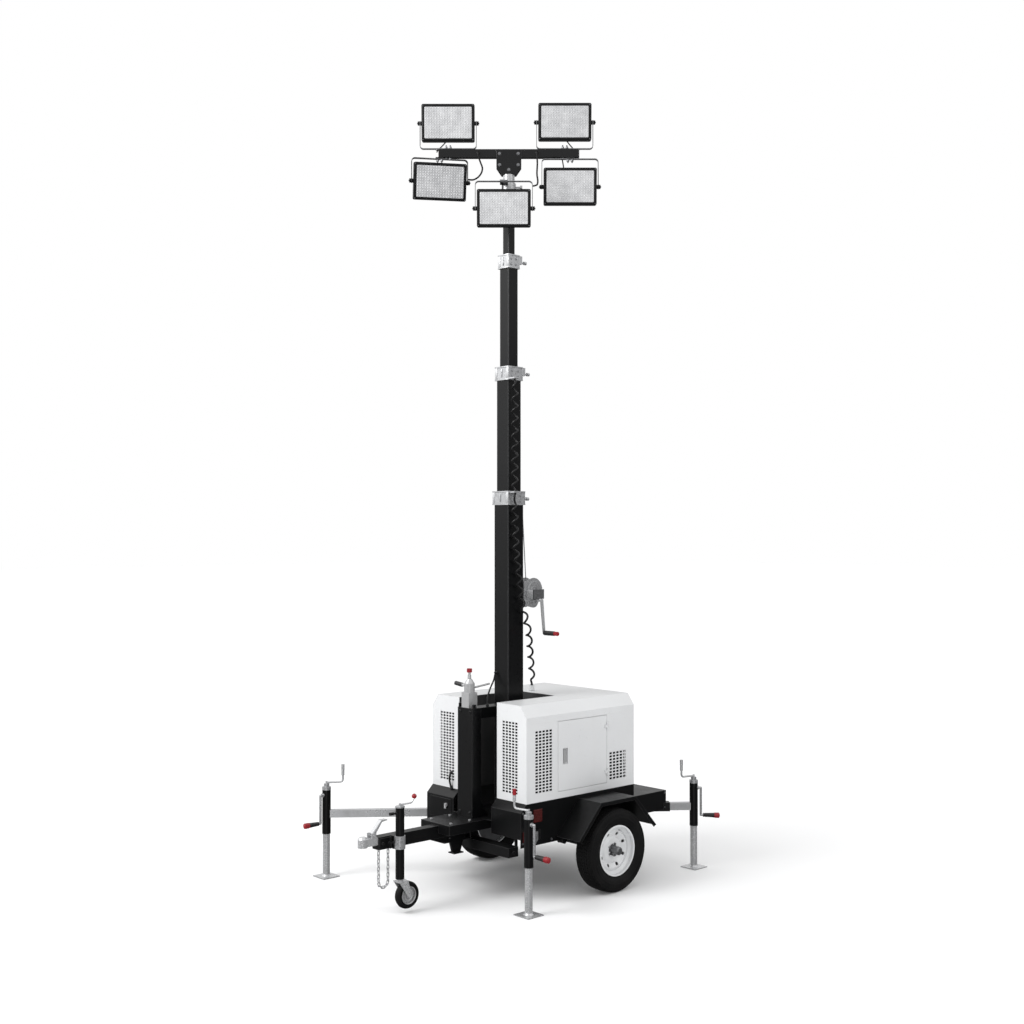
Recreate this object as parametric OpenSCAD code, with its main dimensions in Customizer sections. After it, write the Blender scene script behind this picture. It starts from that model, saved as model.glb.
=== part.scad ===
// Mobile light tower: a single-axle trailer with a generator canopy, a four-stage hand-wound
// mast, five floodlights on a T-bar, a jockey wheel and four pull-out stabiliser jacks.
// Millimetres, +Z up. The trailer points along -X, its left side is -Y, and it stands at Z = 0.

/* [Wheels and axle] */
// Distance between the wheel centres
track = 1458; // [1420:1:1500]
// Outer diameter of the tyre
tyre_d = 660; // [600:1:700]
// Width of the tyre
tyre_w = 170; // [155:1:190]
// Outer diameter of the steel rim's flanges
rim_d = 412; // [350:1:430]
// Diameter of the stub axle
stub_d = 40; // [30:1:50]

/* [Base frame] */
// Front face of the base, ahead of the axle
base_front = 826; // [800:1:900]
// Bottom of the base's side walls
base_bottom = 438; // [420:1:470]
// Top of the base, where the canopy sits
deck_z = 764; // [740:1:800]
// Wall thickness of the base
base_wall = 5; // [3:0.5:8]
// Height of the rear tray and of its top above the ground
tray_h = 160; // [120:1:180]
// Top of the rear tray above the ground
tray_top = 660; // [640:1:690]
// Length of the rear tray behind the canopy
tray_len = 404; // [300:1:500]

/* [Canopy] */
// Length of the canopy
canopy_l = 1218; // [1100:1:1350]
// Width of the canopy and of the base
canopy_w = 1134; // [1080:1:1160]
// Front of the canopy, ahead of the axle
canopy_front_x = 766; // [740:1:780]
// Top of the canopy roof
roof_z = 1511; // [1350:1:1650]
// Width of the slope along each side of the roof
slope_w = 68; // [40:1:100]
// Height of the slope along each side of the roof
slope_h = 90; // [50:1:120]
// Depth of the roof's folded edge below the slope
lip_h = 51; // [35:1:65]
// Thickness of the canopy's sheet
sheet = 3; // [2:0.5:5]
// Width of the notch that the mast stands in
notch_w = 456; // [400:1:500]
// Length of the notch from the canopy's front
notch_l = 646; // [560:1:700]

/* [Doors and vents] */
// Front edge of the door, behind the canopy's front
door_in = 337; // [320:1:360]
// Length of the door
door_l = 558; // [450:1:570]
// Gap round the door
door_gap = 3; // [2:0.5:5]
// Thickness of the door
door_t = 18; // [14:1:25]

/* [Mast] */
// Mast axis, ahead of the axle
mast_x = 431; // [400:1:450]
// Widths of the four square mast sections, outermost first
mast_w = [168, 140, 105, 70];
// Wall of a mast section
mast_wall = 5; // [4:0.5:6]
// Underside of the first collar
collar_z = 3068; // [2800:1:3300]
// Height of a collar
collar_h = 112; // [80:1:140]
// How far each sliding section shows above the collar below it
mast_out = [902, 804, 522]; // [[300:1:1100]]
// Length of a sliding section hidden in the one below it
mast_in = 1100; // [900:1:1300]

/* [Light head] */
// Turn of the light head about the mast
head_turn = -42.6; // [-90:0.1:90]
// Length of the T-bar
bar_l = 1145; // [1100:1:1300]
// Height and depth of the T-bar
bar_w = 64; // [56:1:80]
// Width of a floodlight
lamp_w = 434; // [400:1:450]
// Height of a floodlight
lamp_h = 300; // [280:1:310]
// Depth of a floodlight's housing
lamp_t = 62; // [50:1:80]

/* [Outriggers and jacks] */
// Angle of the outrigger beams from the trailer's length
beam_angle = 38.9; // [38:0.1:40]
// Width of an outrigger beam
beam_w = 60; // [50:1:62]
// Height of the beam's centre above the ground
beam_z = 520; // [515:1:525]
// Outer diameter of a jack's tube
jack_d = 70; // [64:1:76]
// Diameter of a jack's leg
leg_d = 58; // [50:1:60]
// Side of a jack's foot plate
foot_w = 160; // [140:1:200]
// Reach of a jack's side crank from the jack's axis
crank_reach = 214; // [200:1:230]

/* [Hitch] */
// Tip of the coupler, ahead of the axle
coupler_tip = 1928; // [1900:1:2000]
// Height of the top of the tongue
tongue_top = 582; // [576:1:586]
// Height of the tongue tube
tongue_h = 95; // [80:1:100]
// Width of the tongue tube
tongue_w = 80; // [70:1:90]
// Diameter of the jockey wheel
jockey_d = 202; // [180:1:220]

/* [Hidden] */
$fn = 48;
eps = 0.01;
// Gap between faces that slide or seat on each other
seat = 0.3;

half_w = canopy_w / 2;
base_x0 = -base_front;
can_x0 = -canopy_front_x;
can_x1 = can_x0 + canopy_l;
tray_x1 = can_x1 + tray_len;
notch_x1 = can_x0 + notch_l;
eave_z = roof_z - slope_h;
lip_z = eave_z - lip_h;
wall_top = lip_z - seat;
door_x0 = can_x0 + door_in;
door_x1 = door_x0 + door_l;
door_z0 = deck_z + 52;
door_z1 = lip_z - 4;
frame_w = 14;

// Vent fields: x or y range and z range
side_vent_x = [can_x0 + 89, can_x0 + 277];
side_vent_z = [deck_z + 67, lip_z - 54];
rear_vent_x = [can_x0 + 919, can_x0 + 1122];
rear_vent_z = [deck_z + 69, deck_z + 297];
end_vent_y = [notch_w / 2 + 60, notch_w / 2 + 242];
end_vent_z = [deck_z + 58, roof_z - 130];

// Leaf springs
spring_run = 320;
spring_step = 80;
spring_leaf = 6;
spring_sag = 20;
spring_eye = 59 + spring_sag - spring_leaf / 2;

// Front deck that carries the post and the mast
step_z = 600;
step_t = 8;
step_x0 = base_x0 - 378;
step_half = 174;
step_rail_h = 75;
step_x1 = -mast_x + 101;

// Front post
post_x0 = base_x0 - 75;
post_x1 = base_x0 + 19;
post_half = 87;
post_top = 1460;
strap_z = [1370, 1455];

// Mast
mast_y = 0;
mast_foot = step_z;
collar_w = [for (w = mast_w) w + 18];
collar_z1 = collar_z + collar_h;
collar_2 = collar_z1 + mast_out[0];
collar_3 = collar_2 + collar_h + mast_out[1];
mast_top = collar_3 + collar_h + mast_out[2];
mast_fit = 0.7;

// Winch on the mast's rear face
winch_x = -mast_x + mast_w[0] / 2 + 105;
winch_y = -95;
winch_z = 2344;
winch_shaft = 56;
crank_y = winch_y - 95;

// Light head
head_z = mast_top;
bar_z = head_z + 312;
swivel_h = 136;

// One value a lamp: place along the bar, place ahead of it, height above it, yaw, tilt
lamp_lat = [-497, 458, -567, 501, -40];
lamp_y = [0, 0, 0, 0, -165];
lamp_dz = [252, 260, -228, -270, -488];
lamp_yaw = [0, 0, 10, 0, 0];
lamp_tilt = [6, 6, 14, 8, 8];
yoke_t = 5;
yoke_half = 17;
yoke_bend = 30;
yoke_gap = 16;
lead_d = 14;

// Jacks: corner signs are x then y, and pull is the length of beam that shows
jack_z = [355, 715];
cap_top = 780;
grip_d = 44;
side_top = jack_z[1] - 40;
side_low = jack_z[1] - 270;
side_out = 60;
side_rod = 20;
foot_t = 8;
leg_h = 500;
front_mouth = [-682, half_w];
rear_mouth = [886, half_w];
pull_left = [329, 218];
pull_right = [943, 832];
beam_len = [1149, 1038];
sleeve_wall = 6;
sleeve_gap = 0.7;
sleeve_in = 600;

function mouth(i) = side_x(i) < 0 ? front_mouth : rear_mouth;
function side_y(i) = i < 2 ? -1 : 1;
function side_x(i) = (i == 0 || i == 2) ? -1 : 1;
function pull(i) = i < 2 ? pull_left[i] : pull_right[i - 2];
function beam_dir(i) = [side_x(i) * cos(beam_angle), side_y(i) * sin(beam_angle)];
function jack_x(i) = mouth(i)[0] + beam_dir(i)[0] * pull(i);
function jack_y(i) = side_y(i) * mouth(i)[1] + beam_dir(i)[1] * pull(i);
function beam_turn(i) = atan2(beam_dir(i)[1], beam_dir(i)[0]);
// Directions of the side cranks and of the top cranks
side_turn = [-90, -50, 180, 50];
top_turn = [100, 170, -35, -150];
jack_names = ["lf", "lr", "rf", "rr"];

// Jockey wheel
jockey_x = -1620;
jockey_y = -96;
jockey_trail = 66;
jockey_low = 30;
jockey_tube_z = [262, 792];
jockey_tube_d = 66;
jockey_stem_d = 46;
jockey_half = 30;

// Safety chain
chain_x = -1635;
chain_y = tongue_w / 2 + 50;
chain_top = tongue_top - tongue_h + 27;
chain_wire = 6;
chain_pitch = 29.2;
bend_pitch = 27.6;
bend_drop = 0.7;
chain_half = bend_pitch / 2 / sin(18);
chain_side = 10;

// Curly cord
cord_d = 54;
cord_x = -mast_x - 50;
cord_y = -126;
cord_run = [
    [-60, 120, 1562], [-62, 118, 1610], [-88, 92, 1680], [-134, 52, 1770], [-190, 2, 1860],
    [-248, -50, 1950], [-304, -98, 2040], [-356, -126, 2130], [-392, -130, 2220],
    [-418, -130, 2340], [-442, -128, 2500], [-466, -126, 2700], [-479, -126, 2900]
];
socket_h = 50;

// Middle of the whole object in plan, which is its origin
far_x = jack_x(3) + crank_reach * cos(side_turn[3]) + grip_d / 2 * sin(side_turn[3]);
far_y = jack_y(3) + crank_reach * sin(side_turn[3]) + grip_d / 2 * cos(side_turn[3]);
mid_x = (-coupler_tip + far_x) / 2;
mid_y = (jack_y(0) - crank_reach + far_y) / 2;

module placed() translate([-mid_x, -mid_y, 0]) children();

module block(x, y, z) {
    translate([x[0], y[0], z[0]]) cube([x[1] - x[0], y[1] - y[0], z[1] - z[0]]);
}

// A plate whose outline is drawn in X and Z, standing between two values of Y
module plate_xz(y0, y1) {
    translate([0, y1, 0]) rotate([90, 0, 0]) linear_extrude(y1 - y0) children();
}

// A plate whose outline is drawn in Y and Z, standing between two values of X
module plate_yz(x0, x1) {
    translate([x0, 0, 0]) rotate([90, 0, 90]) linear_extrude(x1 - x0) children();
}

module rod(a, b, d, fn = 24) {
    v = b - a;
    length = norm(v);
    tip = acos(v[2] / length);
    spin = atan2(v[1], v[0]);
    translate(a) rotate([0, tip, spin]) cylinder(h = length, d = d, $fn = fn);
}

module tube(d, bore, z0, z1, fn = 48) {
    translate([0, 0, z0]) difference() {
        cylinder(h = z1 - z0, d = d, $fn = fn);
        translate([0, 0, -1]) cylinder(h = z1 - z0 + 2, d = bore, $fn = fn);
    }
}

module square_tube(w, wall, z0, z1) {
    translate([0, 0, z0]) linear_extrude(z1 - z0) difference() {
        rounded_square(w, wall);
        rounded_square(w - 2 * wall, wall / 2);
    }
}

module rounded_square(w, r) {
    s = w / 2 - r;
    union() {
        square([w, 2 * s], center = true);
        square([2 * s, w], center = true);
        for (x = [-s, s], y = [-s, s]) translate([x, y]) circle(r, $fn = 24);
    }
}

module hex_bolt(d, h) cylinder(h = h, d = d, $fn = 6);

// A tube swept along a run of points that never heads along Y, with flat ends
function unit(v) = v / norm(v);
function heading(p, i) = unit(p[min(i + 1, len(p) - 1)] - p[max(i - 1, 0)]);
function ring(c, t, d, n) =
    let (s = unit(cross(t, [0, 1, 0])), u = cross(s, t))
    [for (k = [0:n - 1]) c + d / 2 * (cos(360 * k / n) * s + sin(360 * k / n) * u)];

module sweep(p, d, n = 10) {
    m = len(p);
    points = [for (i = [0:m - 1]) each ring(p[i], heading(p, i), d, n)];
    sides = [for (i = [0:m - 2], k = [0:n - 1])
        [i * n + k, i * n + (k + 1) % n, (i + 1) * n + (k + 1) % n, (i + 1) * n + k]];
    ends = [[for (k = [n - 1:-1:0]) k], [for (k = [0:n - 1]) (m - 1) * n + k]];
    polyhedron(points, concat(sides, ends), convexity = 6);
}

// ---------------------------------------------------------------- base and running gear

module base_side_outline(inset) {
    bevel = can_x0 - base_x0;
    top = deck_z - inset;
    tray_z1 = tray_top - inset;
    tray_z0 = tray_top - tray_h - (inset > 0 ? 10 : 0);
    polygon([
        [base_x0 + inset, base_bottom - (inset > 0 ? 10 : 0)],
        [base_x0 + inset, deck_z - bevel - inset / 2],
        [can_x0 + inset / 2, top],
        [can_x1 - inset, top],
        [can_x1 - inset, tray_z1],
        [tray_x1 - inset, tray_z1],
        [tray_x1 - inset, tray_z0],
        [can_x1 + 110, tray_z0],
        [can_x1, base_bottom - (inset > 0 ? 10 : 0)]
    ]);
}

module base_frame() {
    color("#16171a") difference() {
        plate_xz(-half_w, half_w) base_side_outline(0);
        plate_xz(-half_w + base_wall, half_w - base_wall) base_side_outline(base_wall);
        block([base_x0 - 1, notch_x1], [-notch_w / 2, notch_w / 2], [base_bottom - 1, deck_z + 1]);
        block([base_x0 - 1, base_x0 + 60], [-half_w + base_wall, half_w - base_wall],
            [base_bottom - 1, base_bottom + 62]);
        for (i = [0:3]) sleeve_cut(i);
    }
}

module along_beam(i) {
    translate([mouth(i)[0], side_y(i) * mouth(i)[1], beam_z]) rotate([0, 0, beam_turn(i)]) children();
}

module sleeve_cut(i) {
    w = beam_w + 2 * (sleeve_gap + sleeve_wall) + 2 * seat;
    along_beam(i) block([-sleeve_in, 200], [-w / 2, w / 2], [-w / 2, w / 2]);
}

module outrigger_sleeves() {
    bore = beam_w + 2 * sleeve_gap;
    w = bore + 2 * sleeve_wall;
    color("#1b1c1f") for (i = [0:3]) along_beam(i) difference() {
        union() {
            block([-sleeve_in, 8], [-w / 2, w / 2], [-w / 2, w / 2]);
            // Hangers from the deck, and from the step or the deck at the inner end
            outer_top = (side_x(i) < 0 ? deck_z : tray_top) - base_wall - seat;
            inner_top = side_x(i) < 0 ? step_z - step_t - seat : deck_z - base_wall - seat;
            block([-sleeve_in, -sleeve_in + 22], [-12, 12], [w / 2 - 1, inner_top - beam_z]);
            block([-160, -120], [-12, 12], [w / 2 - 1, outer_top - beam_z]);
        }
        block([-sleeve_in - 1, 9], [-bore / 2, bore / 2], [-bore / 2, bore / 2]);
    }
}

module tongue() {
    tube_z0 = tongue_top - tongue_h;
    rail_z0 = step_z - step_rail_h;
    color("#141518") {
        // Tongue tube, open at the front
        difference() {
            block([-coupler_tip + 225, step_x1], [-tongue_w / 2, tongue_w / 2], [tube_z0, tongue_top]);
            block([-coupler_tip + 224, step_x1 - 5], [-tongue_w / 2 + 5, tongue_w / 2 - 5],
                [tube_z0 + 5, tongue_top - 5]);
        }
        chain_staple(chain_x + chain_half, tongue_w / 2);
        // Step plate with its folded rails
        difference() {
            union() {
                block([step_x0, base_x0 + 1], [-step_half, step_half], [step_z - step_t, step_z]);
                block([base_x0, notch_x1 - seat], [-notch_w / 2 + seat, notch_w / 2 - seat],
                    [step_z - step_t, step_z]);
                for (y = [-step_half, step_half - 8])
                    block([step_x0, step_x1], [y, y + 8], [rail_z0, step_z - step_t + eps]);
                block([step_x0, step_x0 + 8], [-step_half, step_half], [rail_z0, step_z - step_t + eps]);
                block([step_x1 - 8, step_x1], [-step_half, step_half], [rail_z0, step_z - step_t + eps]);
            }
            block([step_x0 - 1, step_x1 + 1], [-tongue_w / 2 - eps, tongue_w / 2 + eps],
                [tube_z0, tongue_top + eps]);
        }
        block([step_x0, step_x1], [-6, 6], [tongue_top - eps, step_z - step_t + eps]);
        // Gusset and skid under the tongue
        plate_xz(-10, 10) difference() {
            union() {
                polygon([[base_x0 - 461, tube_z0 + eps], [base_x0 - 292, tube_z0 - 62],
                    [base_x0 - 70, tube_z0 - 62], [base_x0 - 70, tube_z0 + eps]]);
                polygon([[base_x0 - 232, tube_z0 - 61], [base_x0 - 206, tube_z0 - 146],
                    [base_x0 - 128, tube_z0 - 146], [base_x0 - 102, tube_z0 - 61]]);
            }
            translate([base_x0 - 240, tube_z0 - 30]) circle(9);
        }
        block([base_x0 - 214, base_x0 - 120], [-38, 38], [tube_z0 - 152, tube_z0 - 144]);
        // Front crossmember and the uprights that join it to the tongue
        difference() {
            block([base_x0 - 64, base_x0 + 36], [-500, 500], [base_bottom - 75, base_bottom]);
            block([base_x0 - 58, base_x0 + 30], [-490, 490], [base_bottom - 69, base_bottom - 6]);
        }
        for (y = [-tongue_w / 2, tongue_w / 2 - 10])
            block([base_x0 - 50, base_x0 + 20], [y, y + 10], [base_bottom - eps, tube_z0 + eps]);
        for (y = [-500, 490])
            block([base_x0 + 5, base_x0 + 30], [y, y + 10], [base_bottom - eps, base_bottom + 61]);
    }
    color("#8d9094") for (y = [-120, 120], x = [base_x0 - 320, base_x0 - 130])
        translate([x, y, step_z]) hex_bolt(24, 9);
    color("#8d9094") for (y = [-500, 500]) translate([base_x0 - 14, y, base_bottom - 38])
        rotate([y > 0 ? -90 : 90, 0, 0]) hex_bolt(26, 10);
}

module locker_door() {
    y = [notch_w / 2 + 32, half_w - 40];
    z = [base_bottom + 90, deck_z - 76];
    color("#191a1d") block([base_x0 - 4, base_x0 - seat], y, z);
    color("#b9bcbf") {
        translate([base_x0 - 4, y[0] + 55, z[1] - 50]) rotate([0, -90, 0]) cylinder(h = 8, d = 30);
        block([base_x0 - 20, base_x0 - 11], [y[0] + 45, y[0] + 65], [z[1] - 78, z[1] - 38]);
    }
}

module fender_outline(t) {
    top = tyre_d + 75 - t;
    foot = tyre_d * 0.715;
    flat = 199;
    toe = 446;
    polygon([[-toe, foot], [-flat, top], [flat, top], [toe, foot],
        [toe - 6, foot - 4], [flat - 3, top - 6], [-flat + 3, top - 6], [-toe + 6, foot - 4]]);
}

module fenders() {
    y0 = half_w + seat;
    y1 = track / 2 + tyre_w / 2 + 2;
    color("#101113") for (s = [-1, 1]) {
        plate_xz(s > 0 ? y0 : -y1, s > 0 ? y1 : -y0) fender_outline(0);
        plate_xz(s > 0 ? y1 - 5 : -y1, s > 0 ? y1 : -y1 + 5) polygon([
            [-446, 472], [-199, 735], [199, 735], [446, 472], [418, 458], [188, 706],
            [-188, 706], [-418, 458]]);
    }
}

module axle() {
    axle_z = tyre_d / 2;
    hub_y = track / 2 - 70;
    spring_y = half_w - 67;
    color("#1a1b1d") {
        rod([0, -hub_y, axle_z], [0, hub_y, axle_z], 56);
        for (s = [-1, 1]) {
            // Hub flange, stub and nut
            rod([0, s * hub_y, axle_z], [0, s * (track / 2 - 30), axle_z], 120, 48);
            rod([0, s * hub_y, axle_z], [0, s * (track / 2 + 55), axle_z], stub_d, 48);
            // Leaf spring with its eyes, hangers and seat
            plate_xz(s * spring_y - 25, s * spring_y + 25) spring_outline(axle_z + 59);
            for (x = [-320, 320]) {
                plate_xz(s * spring_y - 34, s * spring_y - 27) hanger_outline(x, axle_z);
                plate_xz(s * spring_y + 27, s * spring_y + 34) hanger_outline(x, axle_z);
                rod([x, s * spring_y - 36, axle_z + spring_eye],
                     [x, s * spring_y + 36, axle_z + spring_eye], 16);
                block([x - 36, x + 36], [s * spring_y - 38, s * spring_y + 38],
                    [base_bottom - 2, base_bottom + 6]);
                block([x - 30, x + 30], s > 0 ? [spring_y + 20, half_w - base_wall - seat]
                    : [-half_w + base_wall + seat, -spring_y - 20], [base_bottom + 5, base_bottom + 18]);
            }
            for (x = [-37, 37], dy = [-33, 33])
                rod([x, s * spring_y + dy, axle_z - 48], [x, s * spring_y + dy, axle_z + 80], 12);
            block([-48, 48], [s * spring_y - 42, s * spring_y + 42], [axle_z - 40, axle_z - 20]);
            block([-48, 48], [s * spring_y - 42, s * spring_y + 42], [axle_z + 20, axle_z + 35]);
            block([-48, 48], [s * spring_y - 42, s * spring_y + 42], [axle_z + 57, axle_z + 67]);
        }
    }
}

// A pack of four leaves, longest on top, with an eye at each end
function spring_leaves(x) = x > spring_run ? 0 : ceil((spring_run + 1 - abs(x)) / spring_step);
function spring_top(x) = spring_sag * pow(x / spring_run, 2);

module spring_outline(z) {
    over = [for (x = [-spring_run:40:spring_run]) [x, z + spring_top(x)]];
    under = [for (x = [spring_run:-40:-spring_run]) each [
        [x, z + spring_top(x) - spring_leaf * min(4, spring_leaves(min(x + 1, spring_run)))],
        [x, z + spring_top(x) - spring_leaf * min(4, spring_leaves(max(x - 1, -spring_run)))]]];
    polygon(concat(over, under));
    for (x = [-spring_run, spring_run]) translate([x, z + spring_sag - spring_leaf / 2]) difference() {
        circle(16);
        circle(8.4);
    }
}

module hanger_outline(x, axle_z) {
    eye = axle_z + spring_eye;
    translate([x, eye]) circle(18);
    polygon([[x - 34, base_bottom], [x - 34, base_bottom - 6], [x - 18, eye], [x + 18, eye],
        [x + 34, base_bottom - 6], [x + 34, base_bottom]]);
}

module tyre_profile() {
    r = tyre_d / 2;
    w = tyre_w / 2;
    bead = rim_d / 2 - 14;
    difference() {
        union() {
            translate([bead + 6, -w + 24]) square([r - bead - 12, 2 * w - 48]);
            hull() {
                translate([r - 26, w - 22]) circle(22, $fn = 32);
                translate([r - 26, -w + 22]) circle(22, $fn = 32);
                translate([r - 5, w - 40]) circle(5, $fn = 32);
                translate([r - 5, -w + 40]) circle(5, $fn = 32);
                translate([bead + 34, w - 12]) circle(12, $fn = 32);
                translate([bead + 34, -w + 12]) circle(12, $fn = 32);
            }
            for (s = [-1, 1]) translate([bead, s * (w - 30) - 12]) square([40, 24]);
        }
        translate([bead - 30, -w + 46]) square([r - bead - 4, 2 * w - 92]);
        for (y = [-40, -14, 14, 40]) translate([r - 8, y - 3]) square([20, 6]);
    }
}

module tyre(s) {
    translate([0, s * track / 2, tyre_d / 2]) rotate([90, 0, 0])
        color("#1c1c1d") rotate_extrude($fn = 96) tyre_profile();
}

module rim(s) {
    w = tyre_w / 2 - 28;
    seat_r = rim_d / 2 - 14 - seat;
    face = 14;
    translate([0, s * track / 2, tyre_d / 2]) rotate([s > 0 ? -90 : 90, 0, 0]) color("#eef0f2") difference() {
        union() {
            rotate_extrude($fn = 96) polygon([
                [seat_r, -w - 16], [seat_r + 8, -w - 16], [seat_r + 8, -w - 12.5], [seat_r, -w - 12.5],
                [seat_r, -w + 18], [seat_r - 22, -w + 34], [seat_r - 22, w - 34], [seat_r, w - 18],
                [seat_r, w + 12.5], [seat_r + 8, w + 12.5], [seat_r + 8, w + 16], [seat_r - 4, w + 16],
                [seat_r - 4, w - 14], [seat_r - 26, w - 30], [seat_r - 26, face + 6],
                [seat_r - 46, face + 14], [110, face - 6], [92, face + 8], [60, face + 8],
                [60, face], [86, face], [104, face - 14], [seat_r - 44, face + 6],
                [seat_r - 26, face - 4], [seat_r - 26, -w + 30], [seat_r - 4, -w + 14]]);
            translate([0, 0, -20]) cylinder(h = face + 28, d = 122);
            cylinder(h = 92, d = 66);
            translate([0, 0, 92 - eps]) cylinder(h = 10, d1 = 66, d2 = 46, $fn = 48);
            for (a = [0:72:359]) rotate([0, 0, a]) translate([46, 0, face]) cylinder(h = 22, d = 20, $fn = 6);
        }
        translate([0, 0, -40]) cylinder(h = 102, d = stub_d + 2 * seat);
        for (a = [0:45:359]) rotate([0, 0, a + 22.5]) translate([seat_r - 62, 0, -40])
            cylinder(h = 120, d = 27);
    }
}

// ---------------------------------------------------------------- hitch

module coupler() {
    x = -coupler_tip;
    z = tongue_top - tongue_h / 2;
    tube_front = x + 225;
    color("#b4b7ba") {
        // Ball housing with its socket, and the channel that is bolted round the tongue
        difference() {
            union() {
                translate([x + 36, 0, z - 16]) cylinder(h = 62, d = 72);
                translate([x + 36, 0, z + 46 - eps]) cylinder(h = 16, d1 = 72, d2 = 46, $fn = 48);
                block([x + 36, tube_front - 20], [-30, 30], [z - 10, z + 46]);
                block([tube_front - 70, tube_front - seat], [-tongue_w / 2, tongue_w / 2],
                    [z - tongue_h / 2, z + tongue_h / 2]);
            }
            translate([x + 36, 0, z - 17]) cylinder(h = 50, d = 50.8);
            block([x + 60, tube_front - 80], [-22, 22], [z - 11, z + 38]);
            translate([x + 118, -50, z + 62]) rotate([-90, 0, 0]) cylinder(h = 100, d = 12.6);
        }
        for (s = [-1, 1]) plate_xz(s > 0 ? 24 : -30, s > 0 ? 30 : -24) difference() {
            translate([x + 96, z + 40]) square([44, 40]);
            translate([x + 118, z + 62]) circle(6.3);
        }
        block([tube_front - 66, tube_front + 46], [-tongue_w / 2 - 8, -tongue_w / 2 - seat],
            [z - 38, z + 38]);
        block([tube_front - 66, tube_front + 46], [tongue_w / 2 + seat, tongue_w / 2 + 8],
            [z - 38, z + 38]);
        for (dx = [-40, 20]) for (s = [-1, 1]) translate([tube_front + dx, s * (tongue_w / 2 + 8), z])
            rotate([s > 0 ? -90 : 90, 0, 0]) hex_bolt(22, 10);
        // Clamp that holds the jockey leg beside the tongue
        translate([jockey_x, jockey_y, z]) difference() {
            union() {
                translate([0, 0, -48]) cylinder(h = 96, d = jockey_tube_d + 16);
                block([-42, 42], [18, -jockey_y - tongue_w / 2 - seat], [-48, 48]);
            }
            translate([0, 0, -49]) cylinder(h = 98, d = jockey_tube_d + 2 * seat);
        }
        chain_staple(chain_x - chain_half, tongue_w / 2 + 8);
        rod([jockey_x - 46, jockey_y + 24, z], [jockey_x - 70, jockey_y + 24, z], 14);
        rod([jockey_x - 70, jockey_y + 24, z - 40], [jockey_x - 70, jockey_y + 24, z + 50], 12);
        rod([jockey_x - 36, jockey_y + 24, z], [jockey_x - 47, jockey_y + 24, z], 20);
    }
}

module coupler_handle() {
    x = -coupler_tip + 118;
    z = tongue_top - tongue_h / 2 + 62;
    color("#aeb1b4") {
        rod([x, -38, z], [x, 38, z], 12);
        plate_xz(-21, -15) lever_outline(x, z);
        plate_xz(15, 21) lever_outline(x, z);
        block([x + 78, x + 130], [-21, 21], [z + 98, z + 104]);
        plate_xz(-16, 16) polygon([[x - 6, z + 16], [x + 1, z + 12], [x + 84, z + 99], [x + 74, z + 104]]);
    }
}

module lever_outline(x, z) {
    difference() {
        union() {
            translate([x, z]) circle(15);
            polygon([[x - 14, z], [x + 12, z - 4], [x + 82, z + 92], [x + 130, z + 98],
                [x + 130, z + 104], [x + 74, z + 104]]);
        }
        translate([x, z]) circle(6);
    }
}

// A loop of chain that hangs from two eyes beside the coupler and the tongue, clear of the jockey wheel
module safety_chain() {
    bend = chain_half * cos(18);
    color("#a4a7aa") translate([chain_x, chain_y, chain_top - (chain_side + 0.5) * chain_pitch]) {
        for (i = [-2:2]) translate([bend * sin(36 * i), 0, -bend * cos(36 * i) - bend_drop])
            rotate([0, 90 - 36 * i, 0]) rotate([0, 0, i % 2 == 0 ? 0 : 90]) chain_link();
        for (s = [-1, 1], k = [0:chain_side - 1]) translate([s * chain_half, 0, (k + 0.5) * chain_pitch])
            rotate([0, 0, k % 2 == 0 ? 90 : 0]) chain_link();
    }
}

// An eye in a side face, with the chain's end link over its lower leg
module chain_staple(x, face) {
    low = chain_top - chain_pitch + chain_wire / 2 + 8.2;
    out = chain_y + 15;
    for (z = [low, low + 18]) rod([x, face - 4, z], [x, out, z], 8);
    rod([x, out, low - 4], [x, out, low + 22], 8);
}

module chain_link() {
    w = 9;
    straight = 18;
    wire = chain_wire;
    rotate([90, 0, 0]) {
        for (sx = [-1, 1]) translate([sx * w, straight / 2, 0]) rotate([90, 0, 0])
            cylinder(h = straight, d = wire, $fn = 16);
        for (sy = [0, 1]) translate([0, sy > 0 ? straight / 2 - eps : -straight / 2 + eps, 0])
            rotate([0, 0, sy > 0 ? 0 : 180]) rotate_extrude(angle = 180, $fn = 32)
                translate([w, 0]) circle(d = wire, $fn = 16);
    }
}

module jockey_tube() {
    z = jockey_tube_z;
    color("#15161a") translate([jockey_x, jockey_y, 0]) {
        tube(jockey_tube_d, jockey_stem_d + 2 * mast_fit, z[0], z[1]);
        rod([-jockey_tube_d / 2 + 2, 0, z[1] - 40], [-jockey_tube_d / 2 - 32, 0, z[1] - 38], 16);
        rod([-jockey_tube_d / 2 - 30, 0, z[1] - 38], [-jockey_tube_d / 2 - 62, 0, z[1] - 36], 24);
    }
    color("#9da0a3") translate([jockey_x, jockey_y, z[1] + eps]) difference() {
        cylinder(h = 10, d = jockey_tube_d + 6);
        translate([0, 0, -1]) cylinder(h = 12, d = 18.6);
    }
}

module jockey_crank() {
    z = jockey_tube_z[1];
    color("#8a8d90") translate([jockey_x, jockey_y, z]) {
        translate([0, 0, -30]) cylinder(h = 60, d = 18);
        sweep([[4, 0, 20], [98, 0, 20], [108, 0, 22], [115, 0, 28], [134, 0, 56]], 14, 12);
    }
    color("#b3202a") translate([jockey_x + 135, jockey_y, z + 66]) sphere(d = 38, $fn = 32);
}

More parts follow.
